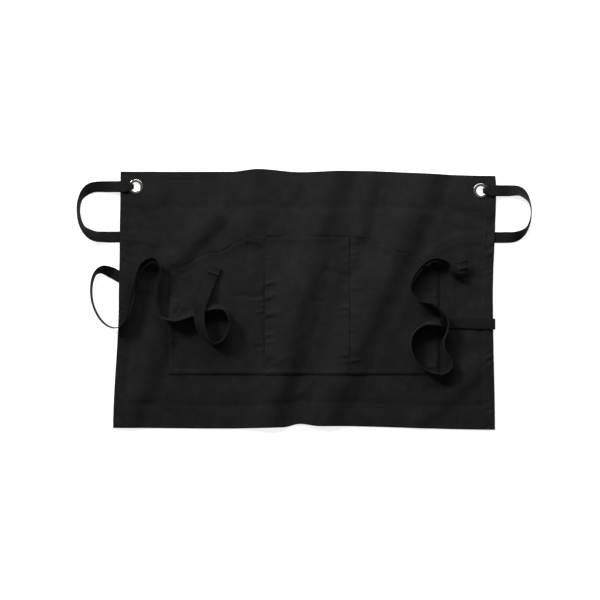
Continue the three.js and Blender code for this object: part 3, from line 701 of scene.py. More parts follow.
def pocket_detail(x, y, across):
    """Relief that the pocket's sewing adds to its front."""
    detail = 0
    up = y - POCKET_BOTTOM_Y
    down = pocket_top_y(across) - y
    for i, seam in enumerate(POCKET_SEAMS):
        distance = (across - seam) * POCKET_WIDTH
        if seam in INNER_SEAMS:
            detail += GROOVES["inner_seam"] * groove(distance, x, y)
        else:
            detail += GROOVES["pocket_edge"] * groove(abs(distance) - POCKET_EDGE_INSET, x, y)
        detail += seam_puckers(y, distance, i)
    detail += GROOVES["pocket_edge"] * groove(up - POCKET_EDGE_INSET, x, y)
    detail += GROOVES["pocket_mouth"] * groove(down - POCKET_MOUTH_HEM, x, y)
    puff = noise.noise(Vector((x / 12, 4.1, y / 30)))
    detail += 0.45 * puff * hill(up - 5, 14) + 0.25 * puff * hill(down - 5, 12)
    return detail + creases(x, y)


def panel_painted_shade(x, y, across, along):
    """Painted shade on the panel: darker colour in the narrow gap along the pocket's outline, where shade
    falls.
    """
    share = (x - POCKET_LEFT_X) / POCKET_WIDTH
    inside = min(max(share, 0), 1)
    sideways = abs(share - inside) * POCKET_WIDTH
    top = pocket_top_y(inside)
    beyond = max(y - top, POCKET_BOTTOM_Y - y, 0)
    if max(sideways, beyond) > GAP_SHADE_BAND:
        return 0
    mouth = 1 if y > top - 1 else 0.4
    return mouth * broken(x, y, 1.9) * hill(beyond, 4) * hill(sideways, 2)


def pocket_painted_shade(x, y, across, along):
    """Painted shade on the pocket: darker colour at its two inner seams and, fainter, along its edges, where
    shade falls.
    """
    shade = 0
    for seam in INNER_SEAMS:
        distance = (across - seam) * POCKET_WIDTH
        shade = max(shade, broken(x, y, 2.7) * hill(distance, SEAM_SHADE_REACH))
    right = (1 - across) * POCKET_WIDTH - POCKET_RIGHT_INSET
    down = pocket_top_y(across) - y
    shade = max(shade, 0.7 * broken(x, y, 3.3) * hill(right, SEAM_SHADE_REACH))
    return max(shade, broken(x, y, 1.9) * hill(down, MOUTH_SHADE_REACH))


def pocket_hem(across, y):
    """The pocket's folded edges are doubled."""
    side = min(across, 1 - across) * POCKET_WIDTH
    up = y - POCKET_BOTTOM_Y
    down = pocket_top_y(across) - y
    single = min(ease((side - POCKET_TURN) / 6), ease((up - POCKET_TURN) / 6), ease((down - 6) / 12))
    rim = min(side, up)
    return mix(POCKET_TURN_RISE, 0, single) * ease(rim / POCKET_TURN) + rounded_rim(min(rim, down))


def pocket_back(x, y, across, along):
    """The height of the pocket's back."""
    return panel_base(x, y) + pocket_stand_off(across, along)


def pocket_base(x, y, across, along):
    """The pocket's front without its sewing relief, on which the ties are placed."""
    return pocket_back(x, y, across, along) + CLOTH


def pocket_front(x, y, across, along):
    """The pocket's front with all of its relief, never sunk into the panel."""
    base = pocket_base(x, y, across, along) + pocket_hem(across, y)
    return max(base + pocket_detail(x, y, across), panel_base(x, y) + POCKET_LEAST_FRONT)


def cloth_top(x, y):
    """The highest cloth at a place: the pocket, the panel's front, or the bare table."""
    if min(insets(x, y)) < 0:
        return 0
    across = (x - POCKET_LEFT_X) / POCKET_WIDTH
    if across < 0 or across > 1:
        return panel_base(x, y)
    along = (y - POCKET_BOTTOM_Y) / (pocket_top_y(across) - POCKET_BOTTOM_Y)
    if along < 0 or along > 1:
        return panel_base(x, y)
    return pocket_base(x, y, across, along)


def bed_height(x, y):
    """The height on which a tie rests: the highest cloth within half a tie's width."""
    highest = cloth_top(x, y)
    for turn in range(8):
        angle = turn * math.pi / 4
        for reach in (TIE_WIDTH / 4, TIE_WIDTH / 2):
            near = cloth_top(x + reach * math.cos(angle), y + reach * math.sin(angle))
            highest = max(highest, near)
    return highest


# Mesh making
def finished(name, bm, material, node=None, smooth=True):
    """Turns a bmesh into a piece of the apron that rides on its one body."""
    mesh = bpy.data.meshes.new(name)
    bm.to_mesh(mesh)
    bm.free()
    piece = bpy.data.objects.new(name, mesh)
    bpy.context.scene.collection.objects.link(piece)
    mesh.materials.append(material)
    mesh.polygons.foreach_set("use_smooth", [smooth] * len(mesh.polygons))
    mesh.update()
    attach(piece, "root")
    if node:
        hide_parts(node)
    return piece


def grid_lines(length, marks, step, fine):
    """Places from 0 to length, about a step apart, with finer ones at each mark and at the rims."""
    count = round(length / step)
    lines = {round(length * i / count, 4) for i in range(count + 1)}
    rims = {RIM_REACH / 3, RIM_REACH, length - RIM_REACH, length - RIM_REACH / 3}
    for mark in marks + (None,):
        near = {round(mark + fine * k, 4) for k in range(-2, 3)} if mark is not None else rims
        lines = {line for line in lines if all(abs(line - n) > CLOSEST_LINES * fine for n in near)} | near
    return sorted(lines | {0, length})


def cloth_mesh(across_lines, along_lines, place, lower, upper, shade, holes=()):
    """A closed sheet of cloth: a flat grid, extruded, with its two layers moved to their heights."""
    columns, rows = len(across_lines) - 1, len(along_lines) - 1
    bm = bmesh.new()
    bmesh.ops.create_grid(bm, x_segments=columns, y_segments=rows, size=1)
    share = {}
    for vert in bm.verts:
        column = round((vert.co.x + 1) / 2 * columns)
        row = round((vert.co.y + 1) / 2 * rows)
        across, along = across_lines[column], along_lines[row]
        x, y = place(across, along)
        vert.co = (x, y, 0)
        share[vert.index] = (across, along)
    bm.verts.index_update()
    for hole_x, hole_y, radius in holes:
        inside = [
            face for face in bm.faces
            if math.hypot(face.calc_center_median().x - hole_x,
                          face.calc_center_median().y - hole_y) < radius
        ]
        bmesh.ops.delete(bm, geom=inside, context="FACES")
    across_layer = bm.verts.layers.float.new("across")
    along_layer = bm.verts.layers.float.new("along")
    # Painted shade: the share by which the material darkens the cloth in its seams and gaps, where shade
    # falls
    painted_shade_layer = bm.verts.layers.float.new("painted_seam_shade")
    for vert in bm.verts:
        vert[across_layer], vert[along_layer] = share[vert.index]
    raised = bmesh.ops.extrude_face_region(bm, geom=bm.faces[:])["geom"]
    top = {element for element in raised if isinstance(element, bmesh.types.BMVert)}
    for vert in bm.verts:
        height = upper if vert in top else lower
        across, along = vert[across_layer], vert[along_layer]
        x, y = vert.co.x, vert.co.y
        vert.co = in_frame(x, y, height(x, y, across, along))
        vert[painted_shade_layer] = shade(x, y, across, along)
    bmesh.ops.recalc_face_normals(bm, faces=bm.faces[:])
    return bm


# A stitch as shares of its length and of the thread's radius, from one pointed end to the other
STITCH_SECTIONS = [(0, 0), (0.14, 1), (0.86, 1), (1, 0)]
STITCH_SIDES = 6


def stitch_ends(rows, tacks):
    """The two ends of every stitch in rows of places and in bar tacks of close short stitches."""
    ends = []
    for row in rows:
        for here, after in zip(row, row[1:]):
            run = after - here
            if SHORTEST_RUN < run.length < LONGEST_RUN:
                ends.append((here, here + run * (STITCH_LENGTH / STITCH_PITCH)))
    for corner in tacks:
        for i in range(BAR_TACK_STITCHES):
            low = corner + Vector((-HALF_TACK, -TACK_PITCH * i, 0))
            ends.append((low, low + Vector((2 * HALF_TACK, TACK_SLANT, 0))))
    return ends


def sewn(name, rows, tacks=()):
    """All of a piece's stitches in one mesh: a long grid, parted into short closed stubs of thread."""
    ends = stitch_ends(rows, tacks)
    sections = len(STITCH_SECTIONS)
    columns = len(ends) * sections - 1
    bm = bmesh.new()
    bmesh.ops.create_grid(bm, x_segments=columns, y_segments=STITCH_SIDES, size=1)
    between = []
    for face in bm.faces:
        column = math.floor((face.calc_center_median().x + 1) / 2 * columns)
        if column % sections == sections - 1:
            between.append(face)
    places = []
    for vert in bm.verts:
        column = round((vert.co.x + 1) / 2 * columns)
        corner = round((vert.co.y + 1) / 2 * STITCH_SIDES) % STITCH_SIDES
        start, end = ends[column // sections]
        share, radius = STITCH_SECTIONS[column % sections]
        along = (end - start).normalized()
        side = Vector((-along.y, along.x, 0)).normalized()
        angle = 2 * math.pi * corner / STITCH_SIDES
        out = side * math.cos(angle) + along.cross(side) * (THREAD_FLATNESS * math.sin(angle))
        places.append(in_frame(*(start.lerp(end, share) + out * (radius * THREAD / 2))))
    for vert, place in zip(bm.verts, places):
        vert.co = place
    bmesh.ops.delete(bm, geom=between, context="FACES")
    bmesh.ops.remove_doubles(bm, verts=bm.verts[:], dist=1e-7)
    bmesh.ops.recalc_face_normals(bm, faces=bm.faces[:])
    return finished(name, bm, thread_black)


def spaced(place, length):
    """Places a stitch apart along a path that is given as a function of a share of its length."""
    count = int(length / STITCH_PITCH)
    return [Vector(place(i / count)) for i in range(count + 1)]


def turned_ring(profile, centre):
    """A round piece spun about a vertical axis from a closed profile of radius and height."""
    bm = bmesh.new()
    verts = [bm.verts.new(in_frame(centre[0] + radius, centre[1], z)) for radius, z in profile]
    edges = [bm.edges.new((verts[i], verts[(i + 1) % len(verts)])) for i in range(len(verts))]
    bmesh.ops.spin(
        bm, geom=verts + edges, cent=in_frame(*centre, 0), axis=(0, 0, 1), angle=2 * math.pi,
        steps=SPIN_STEPS, use_merge=True, use_duplicate=False,
    )
    bmesh.ops.remove_doubles(bm, verts=bm.verts[:], dist=1e-6)
    bmesh.ops.recalc_face_normals(bm, faces=bm.faces[:])
    return bm


# Materials
def linear(hex_colour):
    """An sRGB hex colour as linear red, green and blue."""
    channels = [int(hex_colour[i:i + 2], 16) / 255 for i in (1, 3, 5)]
    return [c / 12.92 if c <= 0.04045 else ((c + 0.055) / 1.055) ** 2.4 for c in channels] + [1]


def add_node(material, kind, links=(), **settings):
    """Adds a node to a material, sets its sockets and properties by name and links what feeds it."""
    node = material.node_tree.nodes.new(kind)
    for name, value in settings.items():
        if hasattr(node, name):
            setattr(node, name, value)
        else:
            node.inputs[name.replace("_", " ")].default_value = value
    for socket, source in links:
        material.node_tree.links.new(source, node.inputs[socket])
    return node


def new_material(name):
    """An empty material that works with nodes."""
    material = bpy.data.materials.new(name)
    material.use_nodes = True
    material.node_tree.nodes.clear()
    return material


def colour_ramp(node, stops):
    """Sets a ramp's stops, each a place from 0 to 1 and an sRGB hex colour."""
    ramp = node.color_ramp
    while len(ramp.elements) < len(stops):
        ramp.elements.new(0.5)
    for element, (position, colour) in zip(ramp.elements, stops):
        element.position = position
        element.color = linear(colour)


def twill_material(name, shade_stops, twill_pitch, bump, from_uv):
    """Black twill cloth: diagonal wales, uneven yarns, faint patches where the dye has rubbed, and painted
    shade in its seams and gaps.
    """
    material = new_material(name)
    coords = add_node(material, "ShaderNodeTexCoord")
    source = coords.outputs["UV"] if from_uv else coords.outputs["Object"]
    # From metres to millimetres, so that the patterns take their real spacing
    scaled = add_node(material, "ShaderNodeMapping", [("Vector", source)])
    scaled.inputs["Scale"].default_value = (1 / METRE, 1 / METRE, 1 / METRE)
    turned = add_node(material, "ShaderNodeMapping", [("Vector", scaled.outputs[0])])
    turned.inputs["Rotation"].default_value = (0, 0, math.radians(WALE_ANGLE))
    wales = add_node(
        material, "ShaderNodeTexWave", [("Vector", turned.outputs[0])],
        wave_type="BANDS", bands_direction="X", Scale=BAND_REPEAT / twill_pitch, Distortion=1.1, Detail=2,
    )
    yarn_place = add_node(material, "ShaderNodeMapping", [("Vector", scaled.outputs[0])])
    yarn_place.inputs["Scale"].default_value = (YARN_COUNT, YARN_CHANGES, 1)
    yarns = add_node(material, "ShaderNodeTexNoise", [("Vector", yarn_place.outputs[0])], Scale=1, Detail=3)
    patches = add_node(
        material, "ShaderNodeTexNoise", [("Vector", scaled.outputs[0])], Scale=1 / RUBBED_PATCHES,
        Detail=5, Roughness=0.62,
    )
    relief = add_node(
        material, "ShaderNodeMath", [(0, wales.outputs["Fac"]), (1, yarns.outputs["Fac"])], operation="ADD",
    )
    shade = add_node(
        material, "ShaderNodeMath", [(0, patches.outputs["Fac"]), (1, relief.outputs[0])],
        operation="MULTIPLY_ADD",
    )
    shade.inputs[2].default_value = 0.1
    mixed = add_node(material, "ShaderNodeMapRange", [("Value", shade.outputs[0])])
    mixed.inputs["From Min"].default_value = 0.2
    mixed.inputs["From Max"].default_value = 1.1
    ramp = add_node(material, "ShaderNodeValToRGB", [("Fac", mixed.outputs[0])])
    colour_ramp(ramp, shade_stops)
    # Painted shade: in the cloth's seams and gaps its colour is drawn towards near-black #0c0c0c
    seam = add_node(material, "ShaderNodeAttribute", attribute_name="painted_seam_shade")
    darkened = add_node(
        material, "ShaderNodeMix", [(0, seam.outputs["Fac"]), (6, ramp.outputs[0])], data_type="RGBA",
    )
    darkened.inputs[7].default_value = linear("#0c0c0c")
    rough = add_node(material, "ShaderNodeMapRange", [("Value", yarns.outputs["Fac"])])
    rough.inputs["To Min"].default_value = 0.78
    rough.inputs["To Max"].default_value = 0.95
    raised = add_node(
        material, "ShaderNodeBump", [("Height", relief.outputs[0])], Strength=0.5, Distance=bump,
    )
    shader = add_node(material, "ShaderNodeBsdfPrincipled", [
        ("Base Color", darkened.outputs[2]),
        ("Roughness", rough.outputs[0]),
        ("Normal", raised.outputs[0]),
    ])
    shader.inputs["Specular IOR Level"].default_value = 0.12
    shader.inputs["Sheen Weight"].default_value = 0.02
    shader.inputs["Sheen Roughness"].default_value = 0.5
    add_node(material, "ShaderNodeOutputMaterial", [("Surface", shader.outputs[0])])
    return material


# Black cotton twill, woven in a steep diagonal and dyed after weaving: a deep neutral black with
# a soft, dull face, faint rubbed patches and diagonal wales. The real wales stand 0.6 mm apart, and are
# drawn 1.3 mm apart so that they show.
panel_twill = twill_material(
    "panel_cotton_twill", [(0, "#1b1b1b"), (0.5, "#232323"), (1, "#2d2d2d")],
    PANEL_WALES, 0.22 * METRE, from_uv=False,
)
# The same cotton twill, cut for the pocket and pressed flat at its turned edges: the same dull black, a
# touch smoother
pocket_twill = twill_material(
    "pocket_cotton_twill", [(0, "#1b1b1b"), (0.5, "#242424"), (1, "#2e2e2e")],
    PANEL_WALES, 0.2 * METRE, from_uv=False,
)
# Folded twill tape, four layers pressed and edge-stitched: darker and a little smoother than the panel.
# Its pattern follows the tape wherever it turns, with the wales drawn 1.1 mm apart so that they show.
tie_twill = twill_material(
    "tie_folded_twill", [(0, "#161616"), (0.5, "#1c1c1c"), (1, "#272727")],
    TIE_WALES, 0.16 * METRE, from_uv=True,
)


def thread_material():
    # Spun polyester sewing thread, dyed black: two tight plies give a slight gloss and fine diagonal bands
    material = new_material("black_polyester_thread")
    coords = add_node(material, "ShaderNodeTexCoord")
    plies = add_node(
        material, "ShaderNodeTexWave", [("Vector", coords.outputs["Object"])],
        wave_type="BANDS", bands_direction="DIAGONAL", Scale=BAND_REPEAT / (THREAD_PLIES * METRE),
        Distortion=2,
    )
    ramp = add_node(material, "ShaderNodeValToRGB", [("Fac", plies.outputs["Fac"])])
    colour_ramp(ramp, [(0, "#101010"), (1, "#1f1f1f")])
    raised = add_node(
        material, "ShaderNodeBump", [("Height", plies.outputs["Fac"])], Strength=0.4, Distance=0.1 * METRE,
    )
    shader = add_node(
        material, "ShaderNodeBsdfPrincipled",
        [("Base Color", ramp.outputs[0]), ("Normal", raised.outputs[0])], Roughness=0.75,
    )
    shader.inputs["Specular IOR Level"].default_value = 0.15
    add_node(material, "ShaderNodeOutputMaterial", [("Surface", shader.outputs[0])])
    return material


def nickel_material(name, colour, roughness):
    # Brass stamped into an eyelet and plated with bright nickel: a warm grey mirror with fine
    # tumbling scratches and a slightly uneven polish
    material = new_material(name)
    coords = add_node(material, "ShaderNodeTexCoord")
    scratches = add_node(
        material, "ShaderNodeTexNoise", [("Vector", coords.outputs["Object"])],
        Scale=1 / (METAL_GRAIN * METRE), Detail=4,
    )
    polish = add_node(material, "ShaderNodeMapRange", [("Value", scratches.outputs["Fac"])])
    polish.inputs["To Min"].default_value = roughness * 0.7
    polish.inputs["To Max"].default_value = roughness * 1.5
    ramp = add_node(material, "ShaderNodeValToRGB", [("Fac", scratches.outputs["Fac"])])
    colour_ramp(ramp, [(0.3, colour[0]), (0.7, colour[1])])
    raised = add_node(
        material, "ShaderNodeBump", [("Height", scratches.outputs["Fac"])],
        Strength=0.12, Distance=0.1 * METRE,
    )
    shader = add_node(material, "ShaderNodeBsdfPrincipled", [
        ("Base Color", ramp.outputs[0]),
        ("Roughness", polish.outputs[0]),
        ("Normal", raised.outputs[0]),
    ])
    shader.inputs["Metallic"].default_value = 1
    add_node(material, "ShaderNodeOutputMaterial", [("Surface", shader.outputs[0])])
    return material


thread_black = thread_material()
eyelet_nickel = nickel_material("eyelet_plated_nickel", ("#b9afa2", "#d8cfc4"), 0.22)
washer_nickel = nickel_material("washer_plated_nickel", ("#a79f94", "#c9c2b8"), 0.3)

# The panel, its holes hidden under the eyelets' flanges
hem_inset = SIDE_HEM - HEM_STITCH_INSET
panel_width_marks = (hem_inset, APRON_WIDTH - hem_inset)
panel_length_marks = (BOTTOM_HEM - HEM_STITCH_INSET, APRON_LENGTH - WAISTBAND + HEM_STITCH_INSET)
panel_width_lines = grid_lines(APRON_WIDTH, panel_width_marks, CLOTH_STEP, CLOTH_SEAM_STEP)
panel_length_lines = grid_lines(APRON_LENGTH, panel_length_marks, CLOTH_STEP, CLOTH_SEAM_STEP)
eyelet_holes = [(*centre, BARREL_RADIUS + HOLE_MARGIN) for centre in (LEFT_EYELET, RIGHT_EYELET)]
panel_bm = cloth_mesh(
    [line / APRON_WIDTH for line in panel_width_lines],
    [line / APRON_LENGTH for line in panel_length_lines],
    panel_place,
    lambda x, y, across, along: panel_back(x, y),
    lambda x, y, across, along: panel_front(x, y),
    panel_painted_shade,
    eyelet_holes,
)
panel = finished("panel_cloth", panel_bm, panel_twill, "apron_panel")


# The panel's rows of stitches: along both side hems, the bottom hem and the waistband's two edges
def on_panel(x, y):
    """A place just on the panel's front, where a stitch lies."""
    return x, y, panel_front(x, y) + STITCH_RISE


def side_hem_place(edge, inward):
    """The path of a row of stitches up a side hem."""
    def place(share):
        y = mix(SIDE_ROW_BELOW - APRON_LENGTH / 2, APRON_LENGTH / 2 - SIDE_ROW_ABOVE, share)
        return on_panel(edge(y) + inward, y)
    return place


def level_place(edge, up):
    """The path of a row of stitches that follows the top or the bottom edge."""
    def place(share):
        x = mix(LEVEL_ROW_INSET - APRON_WIDTH / 2, APRON_WIDTH / 2 - LEVEL_ROW_INSET, share)
        return on_panel(x, edge(x) + up)
    return place


side_row_length = APRON_LENGTH - SIDE_ROW_BELOW - SIDE_ROW_ABOVE
panel_rows = [
    spaced(side_hem_place(left_edge, hem_inset), side_row_length),
    spaced(side_hem_place(right_edge, -hem_inset), side_row_length),
    spaced(level_place(bottom_edge, BOTTOM_HEM - HEM_STITCH_INSET), APRON_WIDTH),
    spaced(level_place(top_edge, HEM_STITCH_INSET - WAISTBAND), APRON_WIDTH),
    spaced(level_place(top_edge, -TOP_STITCH_INSET), APRON_WIDTH),
]
panel_stitches = sewn("panel_stitches", panel_rows)

# The pocket
pocket_width_marks = (
    POCKET_EDGE_INSET, *[seam * POCKET_WIDTH for seam in INNER_SEAMS], POCKET_WIDTH - POCKET_RIGHT_INSET
)
pocket_length_marks = (POCKET_EDGE_INSET, POCKET_DEPTH - POCKET_MOUTH_HEM)
pocket_width_lines = grid_lines(POCKET_WIDTH, pocket_width_marks, POCKET_STEP, POCKET_SEAM_STEP)
pocket_length_lines = grid_lines(POCKET_DEPTH, pocket_length_marks, POCKET_STEP, POCKET_SEAM_STEP)
pocket_bm = cloth_mesh(
    [line / POCKET_WIDTH for line in pocket_width_lines],
    [line / POCKET_DEPTH for line in pocket_length_lines],
    pocket_place,
    pocket_back,
    pocket_front,
    pocket_painted_shade,
)
pocket = finished("pocket_cloth", pocket_bm, pocket_twill, "pocket")


# The pocket's rows of stitches: round its outline, up both inner seams and along its mouth
def on_pocket(across, inset):
    """A place on the pocket, at an inset from its bottom, or from its mouth where the inset is negative."""
    depth = pocket_top_y(across) - POCKET_BOTTOM_Y
    along = inset / depth if inset > 0 else 1 + inset / depth
    x, y = pocket_place(across, along)
    return x, y, pocket_front(x, y, across, along) + STITCH_RISE


def upright_row(across):
    """A row of stitches up the pocket, at a share of its width."""
    depth = pocket_top_y(across) - POCKET_BOTTOM_Y
    top = depth - UPRIGHT_ROW_GAP
    return spaced(lambda share: on_pocket(across, mix(POCKET_EDGE_INSET, top, share)), depth)


def level_row(inset):
    """A row of stitches across the pocket, along its bottom or along its mouth."""
    ends = (POCKET_EDGE_INSET / POCKET_WIDTH, 1 - POCKET_EDGE_INSET / POCKET_WIDTH)
    return spaced(lambda share: on_pocket(mix(*ends, share), inset), POCKET_WIDTH)


row_places = (POCKET_EDGE_INSET / POCKET_WIDTH, *INNER_SEAMS, 1 - POCKET_RIGHT_INSET / POCKET_WIDTH)
pocket_rows = [upright_row(across) for across in row_places]
pocket_rows += [level_row(POCKET_EDGE_INSET), level_row(-POCKET_MOUTH_HEM)]
tack_shares = (TACK_PLACE, *INNER_SEAMS, 1 - TACK_PLACE)
tack_places = [Vector(on_pocket(across, -1)) for across in tack_shares]
pocket_stitches = sewn("pocket_stitches", pocket_rows, tack_places)


# Eyelets: a rolled flange, a barrel through the cloth and the edge clenched over the washer
def eyelet_profile():
    """The eyelet's section: over the rounded nose, down the hole, round the clenched edge and the flange."""
    nose_radius = (EYELET_TOP - CLENCH_LEVEL) / 2
    nose_centre = HOLE_RADIUS + nose_radius
    steps = 16
    profile = []
    for step in range(steps + 1):
        angle = math.pi / 2 + math.pi * step / steps
        radius = nose_centre + nose_radius * math.cos(angle)
        profile.append((radius, CLENCH_LEVEL + nose_radius + nose_radius * math.sin(angle)))
    clench_edge = HOLE_RADIUS + CLENCH_REACH
    profile.append((clench_edge - 0.2, CLENCH_LEVEL))
    profile.append((clench_edge, CLENCH_LEVEL + 0.2))
    profile.append((clench_edge - 0.1, CLENCH_LEVEL + CLENCH))
    profile.append((BARREL_RADIUS, CLENCH_LEVEL + CLENCH))
    profile.append((BARREL_RADIUS, FLANGE_LEVEL))
    outside = EYELET_OUTSIDE / 2
    profile.append((outside - 0.35, FLANGE_LEVEL - 0.1))
    for step in range(5):
        angle = -math.pi / 4 + math.pi * 3 / 4 * step / 4
        radius = outside - FLANGE_RIM + FLANGE_RIM * math.cos(angle)
        profile.append((radius, FLANGE_LEVEL + FLANGE_RIM_HALF + FLANGE_RIM_HALF * math.sin(angle)))
    profile.append((outside - FLANGE_SHOULDER, FLANGE_LEVEL + FLANGE_RISE * 0.93))
    return profile


def washer_profile():
    """The washer's section: a flat ring with its outer corners taken off."""
    inside, outside = BARREL_RADIUS + CLEARANCE, WASHER_OUTSIDE / 2
    top = WASHER_LEVEL + WASHER
    flat = outside - WASHER_CHAMFER
    return [
        (inside, WASHER_LEVEL), (flat, WASHER_LEVEL), (outside, WASHER_LEVEL + WASHER_CHAMFER),
        (outside, top - WASHER_CHAMFER), (flat, top), (inside, top),
    ]


for side, eyelet_centre in (("left", LEFT_EYELET), ("right", RIGHT_EYELET)):
    ring = turned_ring(eyelet_profile(), eyelet_centre)
    finished("eyelet_ring_" + side, ring, eyelet_nickel, "eyelet_" + side)
    disc = turned_ring(washer_profile(), eyelet_centre)
    finished("washer_disc_" + side, disc, washer_nickel, "washer_" + side, smooth=False)


# Ties
def half_turn(x, y, start, end, reach, outward, width, thickness):
    """A half turn of a tie about a level axis, from its starting height to its end height."""
    stations = []
    for step in range(9):
        angle = math.pi * step / 8
        share = math.sin(angle)
        stations.append({
            "x": x + outward * reach * share,
            "y": y,
            "z": (start + end) / 2 + (start - end) / 2 * math.cos(angle),
            "lean": 0,
            "width": mix(TIE_WIDTH, width, GATHER_START + (1 - GATHER_START) * share),
            "thickness": mix(TIE_THICKNESS, thickness, share),
        })
    return stations


def eyelet_start(centre, outward):
    """The sewn-back end under the corner, up through the eyelet, and out over the front."""
    x0, y0 = centre
    back = TIE_THICKNESS / 2
    front = EYELET_TOP + RESTING_GAP + TIE_THICKNESS / 2
    reach = (front - back) / 2
    half_gathered = TIE_GATHERED_WIDTH / 2 + 1
    face = math.sqrt(HOLE_RADIUS ** 2 - half_gathered ** 2)
    bend_x = x0 + outward * (face - TIE_GATHERED_THICKNESS / 2 + reach)
    cloth_edge = x0 + outward * EYELET_INSET
    cloth_level = EYELET_CLOTH_LEVEL + HEM + RESTING_GAP + TIE_THICKNESS / 2
    over_sewn = TIE_THICKNESS + CLEARANCE + TIE_THICKNESS / 2 + CLEARANCE

    def flat(out, z):
        return {"x": out, "y": y0, "z": z, "lean": 0, "width": TIE_WIDTH, "thickness": TIE_THICKNESS}

    return [
        flat(x0 + outward * TIE_DOUBLED_LENGTH, back),
        flat(x0 + outward * (EYELET_INSET + TIE_WIDTH / 2), back),
        flat(x0 + outward * (EYELET_OUTSIDE / 2 + TIE_WIDTH / 4), back),
        *half_turn(bend_x, y0, back, front, reach, -outward, TIE_GATHERED_WIDTH, TIE_GATHERED_THICKNESS),
        flat(x0 + outward * (EYELET_OUTSIDE / 2 + TIE_WIDTH / 4), front),
        flat(cloth_edge + outward, cloth_level),
        flat(cloth_edge + outward * TIE_WIDTH / 2, (cloth_level + over_sewn) / 2),
        flat(x0 + outward * (TIE_DOUBLED_LENGTH - TIE_WIDTH / 4), over_sewn),
    ]


def route_stations(rows, over_cloth):
    """The stations of a tie's route, in millimetres, from the rows of a table."""
    return [
        {
            "x": row["u"] * APRON_WIDTH, "y": row["v"] * APRON_LENGTH, "lean": row["lean"],
            "lift": row["lift"], "over_cloth": over_cloth, "width": TIE_WIDTH, "thickness": TIE_THICKNESS,
        }
        for row in rows
    ]


def station_height(station):
    """The height of a tie's middle above what it lies on."""
    lean = math.radians(station["lean"])
    half = station["width"] / 2 * abs(math.sin(lean)) + station["thickness"] / 2 * abs(math.cos(lean))
    bed = bed_height(station["x"], station["y"]) + RESTING_GAP if station.get("over_cloth") else 0
    return bed + station.get("lift", 0) * TIE_WIDTH + half


def curve_point(p0, p1, p2, p3, share):
    """A point between p1 and p2 on a smooth curve that passes through all four."""
    step0 = max((p1 - p0).length, 1e-4) ** 0.5
    step1 = max((p2 - p1).length, 1e-4) ** 0.5
    step2 = max((p3 - p2).length, 1e-4) ** 0.5
    run1 = ((p1 - p0) / step0 - (p2 - p0) / (step0 + step1) + (p2 - p1) / step1) * step1
    run2 = ((p2 - p1) / step1 - (p3 - p1) / (step1 + step2) + (p3 - p2) / step2) * step1
    s = share
    cubic = p1 * 2 - p2 * 2 + run1 + run2
    square = p2 * 3 - p1 * 3 - run1 * 2 - run2
    return p1 + run1 * s + square * s * s + cubic * s * s * s


def dense_stations(stations):
    """Stations a few millimetres apart along the curve through the given ones."""
    for station in stations:
        station["loose"] = "z" not in station
        if station["loose"]:
            station["z"] = station_height(station)
    points = [Vector((s["x"], s["y"], s["z"])) for s in stations]
    points = [points[0] * 2 - points[1]] + points + [points[-1] * 2 - points[-2]]
    dense = []
    for i in range(len(stations) - 1):
        here, after = stations[i], stations[i + 1]
        step = TIE_STEP if i < len(stations) - 3 else TIE_END_STEP
        pieces = max(1, math.ceil((points[i + 2] - points[i + 1]).length / step))
        for piece in range(pieces):
            share = piece / pieces
            at = curve_point(*points[i:i + 4], share)
            station = {"x": at.x, "y": at.y, "over_cloth": here.get("over_cloth")}
            for column in ("lean", "width", "thickness"):
                station[column] = mix(here[column], after[column], share)
            station["lift"] = mix(here.get("lift", 0), after.get("lift", 0), share)
            resting = station_height(station)
            both = here["loose"] and after["loose"] and here["over_cloth"] == after["over_cloth"]
            if both:
                station["z"] = resting
            elif here["loose"] or after["loose"]:
                station["z"] = max(at.z, station_height({**station, "lift": 0}))
            else:
                station["z"] = at.z
            station["loose"] = both
            dense.append(station)
    dense.append(stations[-1])
    for _ in range(TAPE_SMOOTHING_PASSES):
        calm = [dict(station) for station in dense]
        for i in range(1, len(dense) - 1):
            if dense[i]["loose"] and dense[i - 1]["loose"] and dense[i + 1]["loose"]:
                for column in ("z", "lean"):
                    around = (dense[i - 1][column] + dense[i + 1][column]) / 2
                    calm[i][column] = mix(dense[i][column], around, TAPE_SMOOTHING)
        dense = calm
    return dense


# The tape's section as shares of its half width and half thickness: two pressed faces with round folded
# edges, and a shallow groove where the edge stitches run
TAPE_SECTION = [
    (-1, 0), (-0.985, 0.6), (-0.93, 1), (-0.8, 1.02), (-0.74, 0.8), (-0.68, 1), (-0.35, 0.94), (0, 0.92),
    (0.35, 0.94), (0.68, 1), (0.74, 0.8), (0.8, 1.02), (0.93, 1), (0.985, 0.6), (1, 0), (0.985, -0.6),
    (0.93, -1), (0.8, -1.02), (0.74, -0.8), (0.68, -1), (0.35, -0.94), (0, -0.92), (-0.35, -0.94),
    (-0.68, -1), (-0.74, -0.8), (-0.8, -1.02), (-0.93, -1), (-0.985, -0.6),
]


def tape_frames(stations):
    """For each station its place, its direction across the tape and its direction through it."""
    points = [Vector((s["x"], s["y"], s["z"])) for s in stations]
    up_world = Vector((0, 0, 1))
    level = None
    frames = []
    for i, point in enumerate(points):
        along = (points[min(i + 1, len(points) - 1)] - points[max(i - 1, 0)]).normalized()
        sideways = Vector((-along.y, along.x, 0))
        if sideways.length > 0.05 or level is None:
            sideways.normalize()
            if level is not None and level.dot(sideways) < 0:
                sideways.negate()
            level = sideways
        lean = math.radians(stations[i]["lean"])
        up = (up_world - along * along.z).normalized()
        wide = level * math.cos(lean)
        if abs(math.sin(lean)) > 1e-6:
            wide += up * math.sin(lean)
        wide = (wide - along * wide.dot(along)).normalized()
        frames.append((point, wide, along.cross(wide).normalized()))
    return frames


def end_hem_rise(to_end):
    """The tape is turned over at its tail: its upper face rises, most at the fold and the sewn edge."""
    if to_end > TIE_END_HEM:
        return 0
    return TIE_THICKNESS * (0.9 + 0.7 * hill(to_end - 1.5, 4) + 0.9 * hill(to_end - TIE_END_HEM + 1, 5))


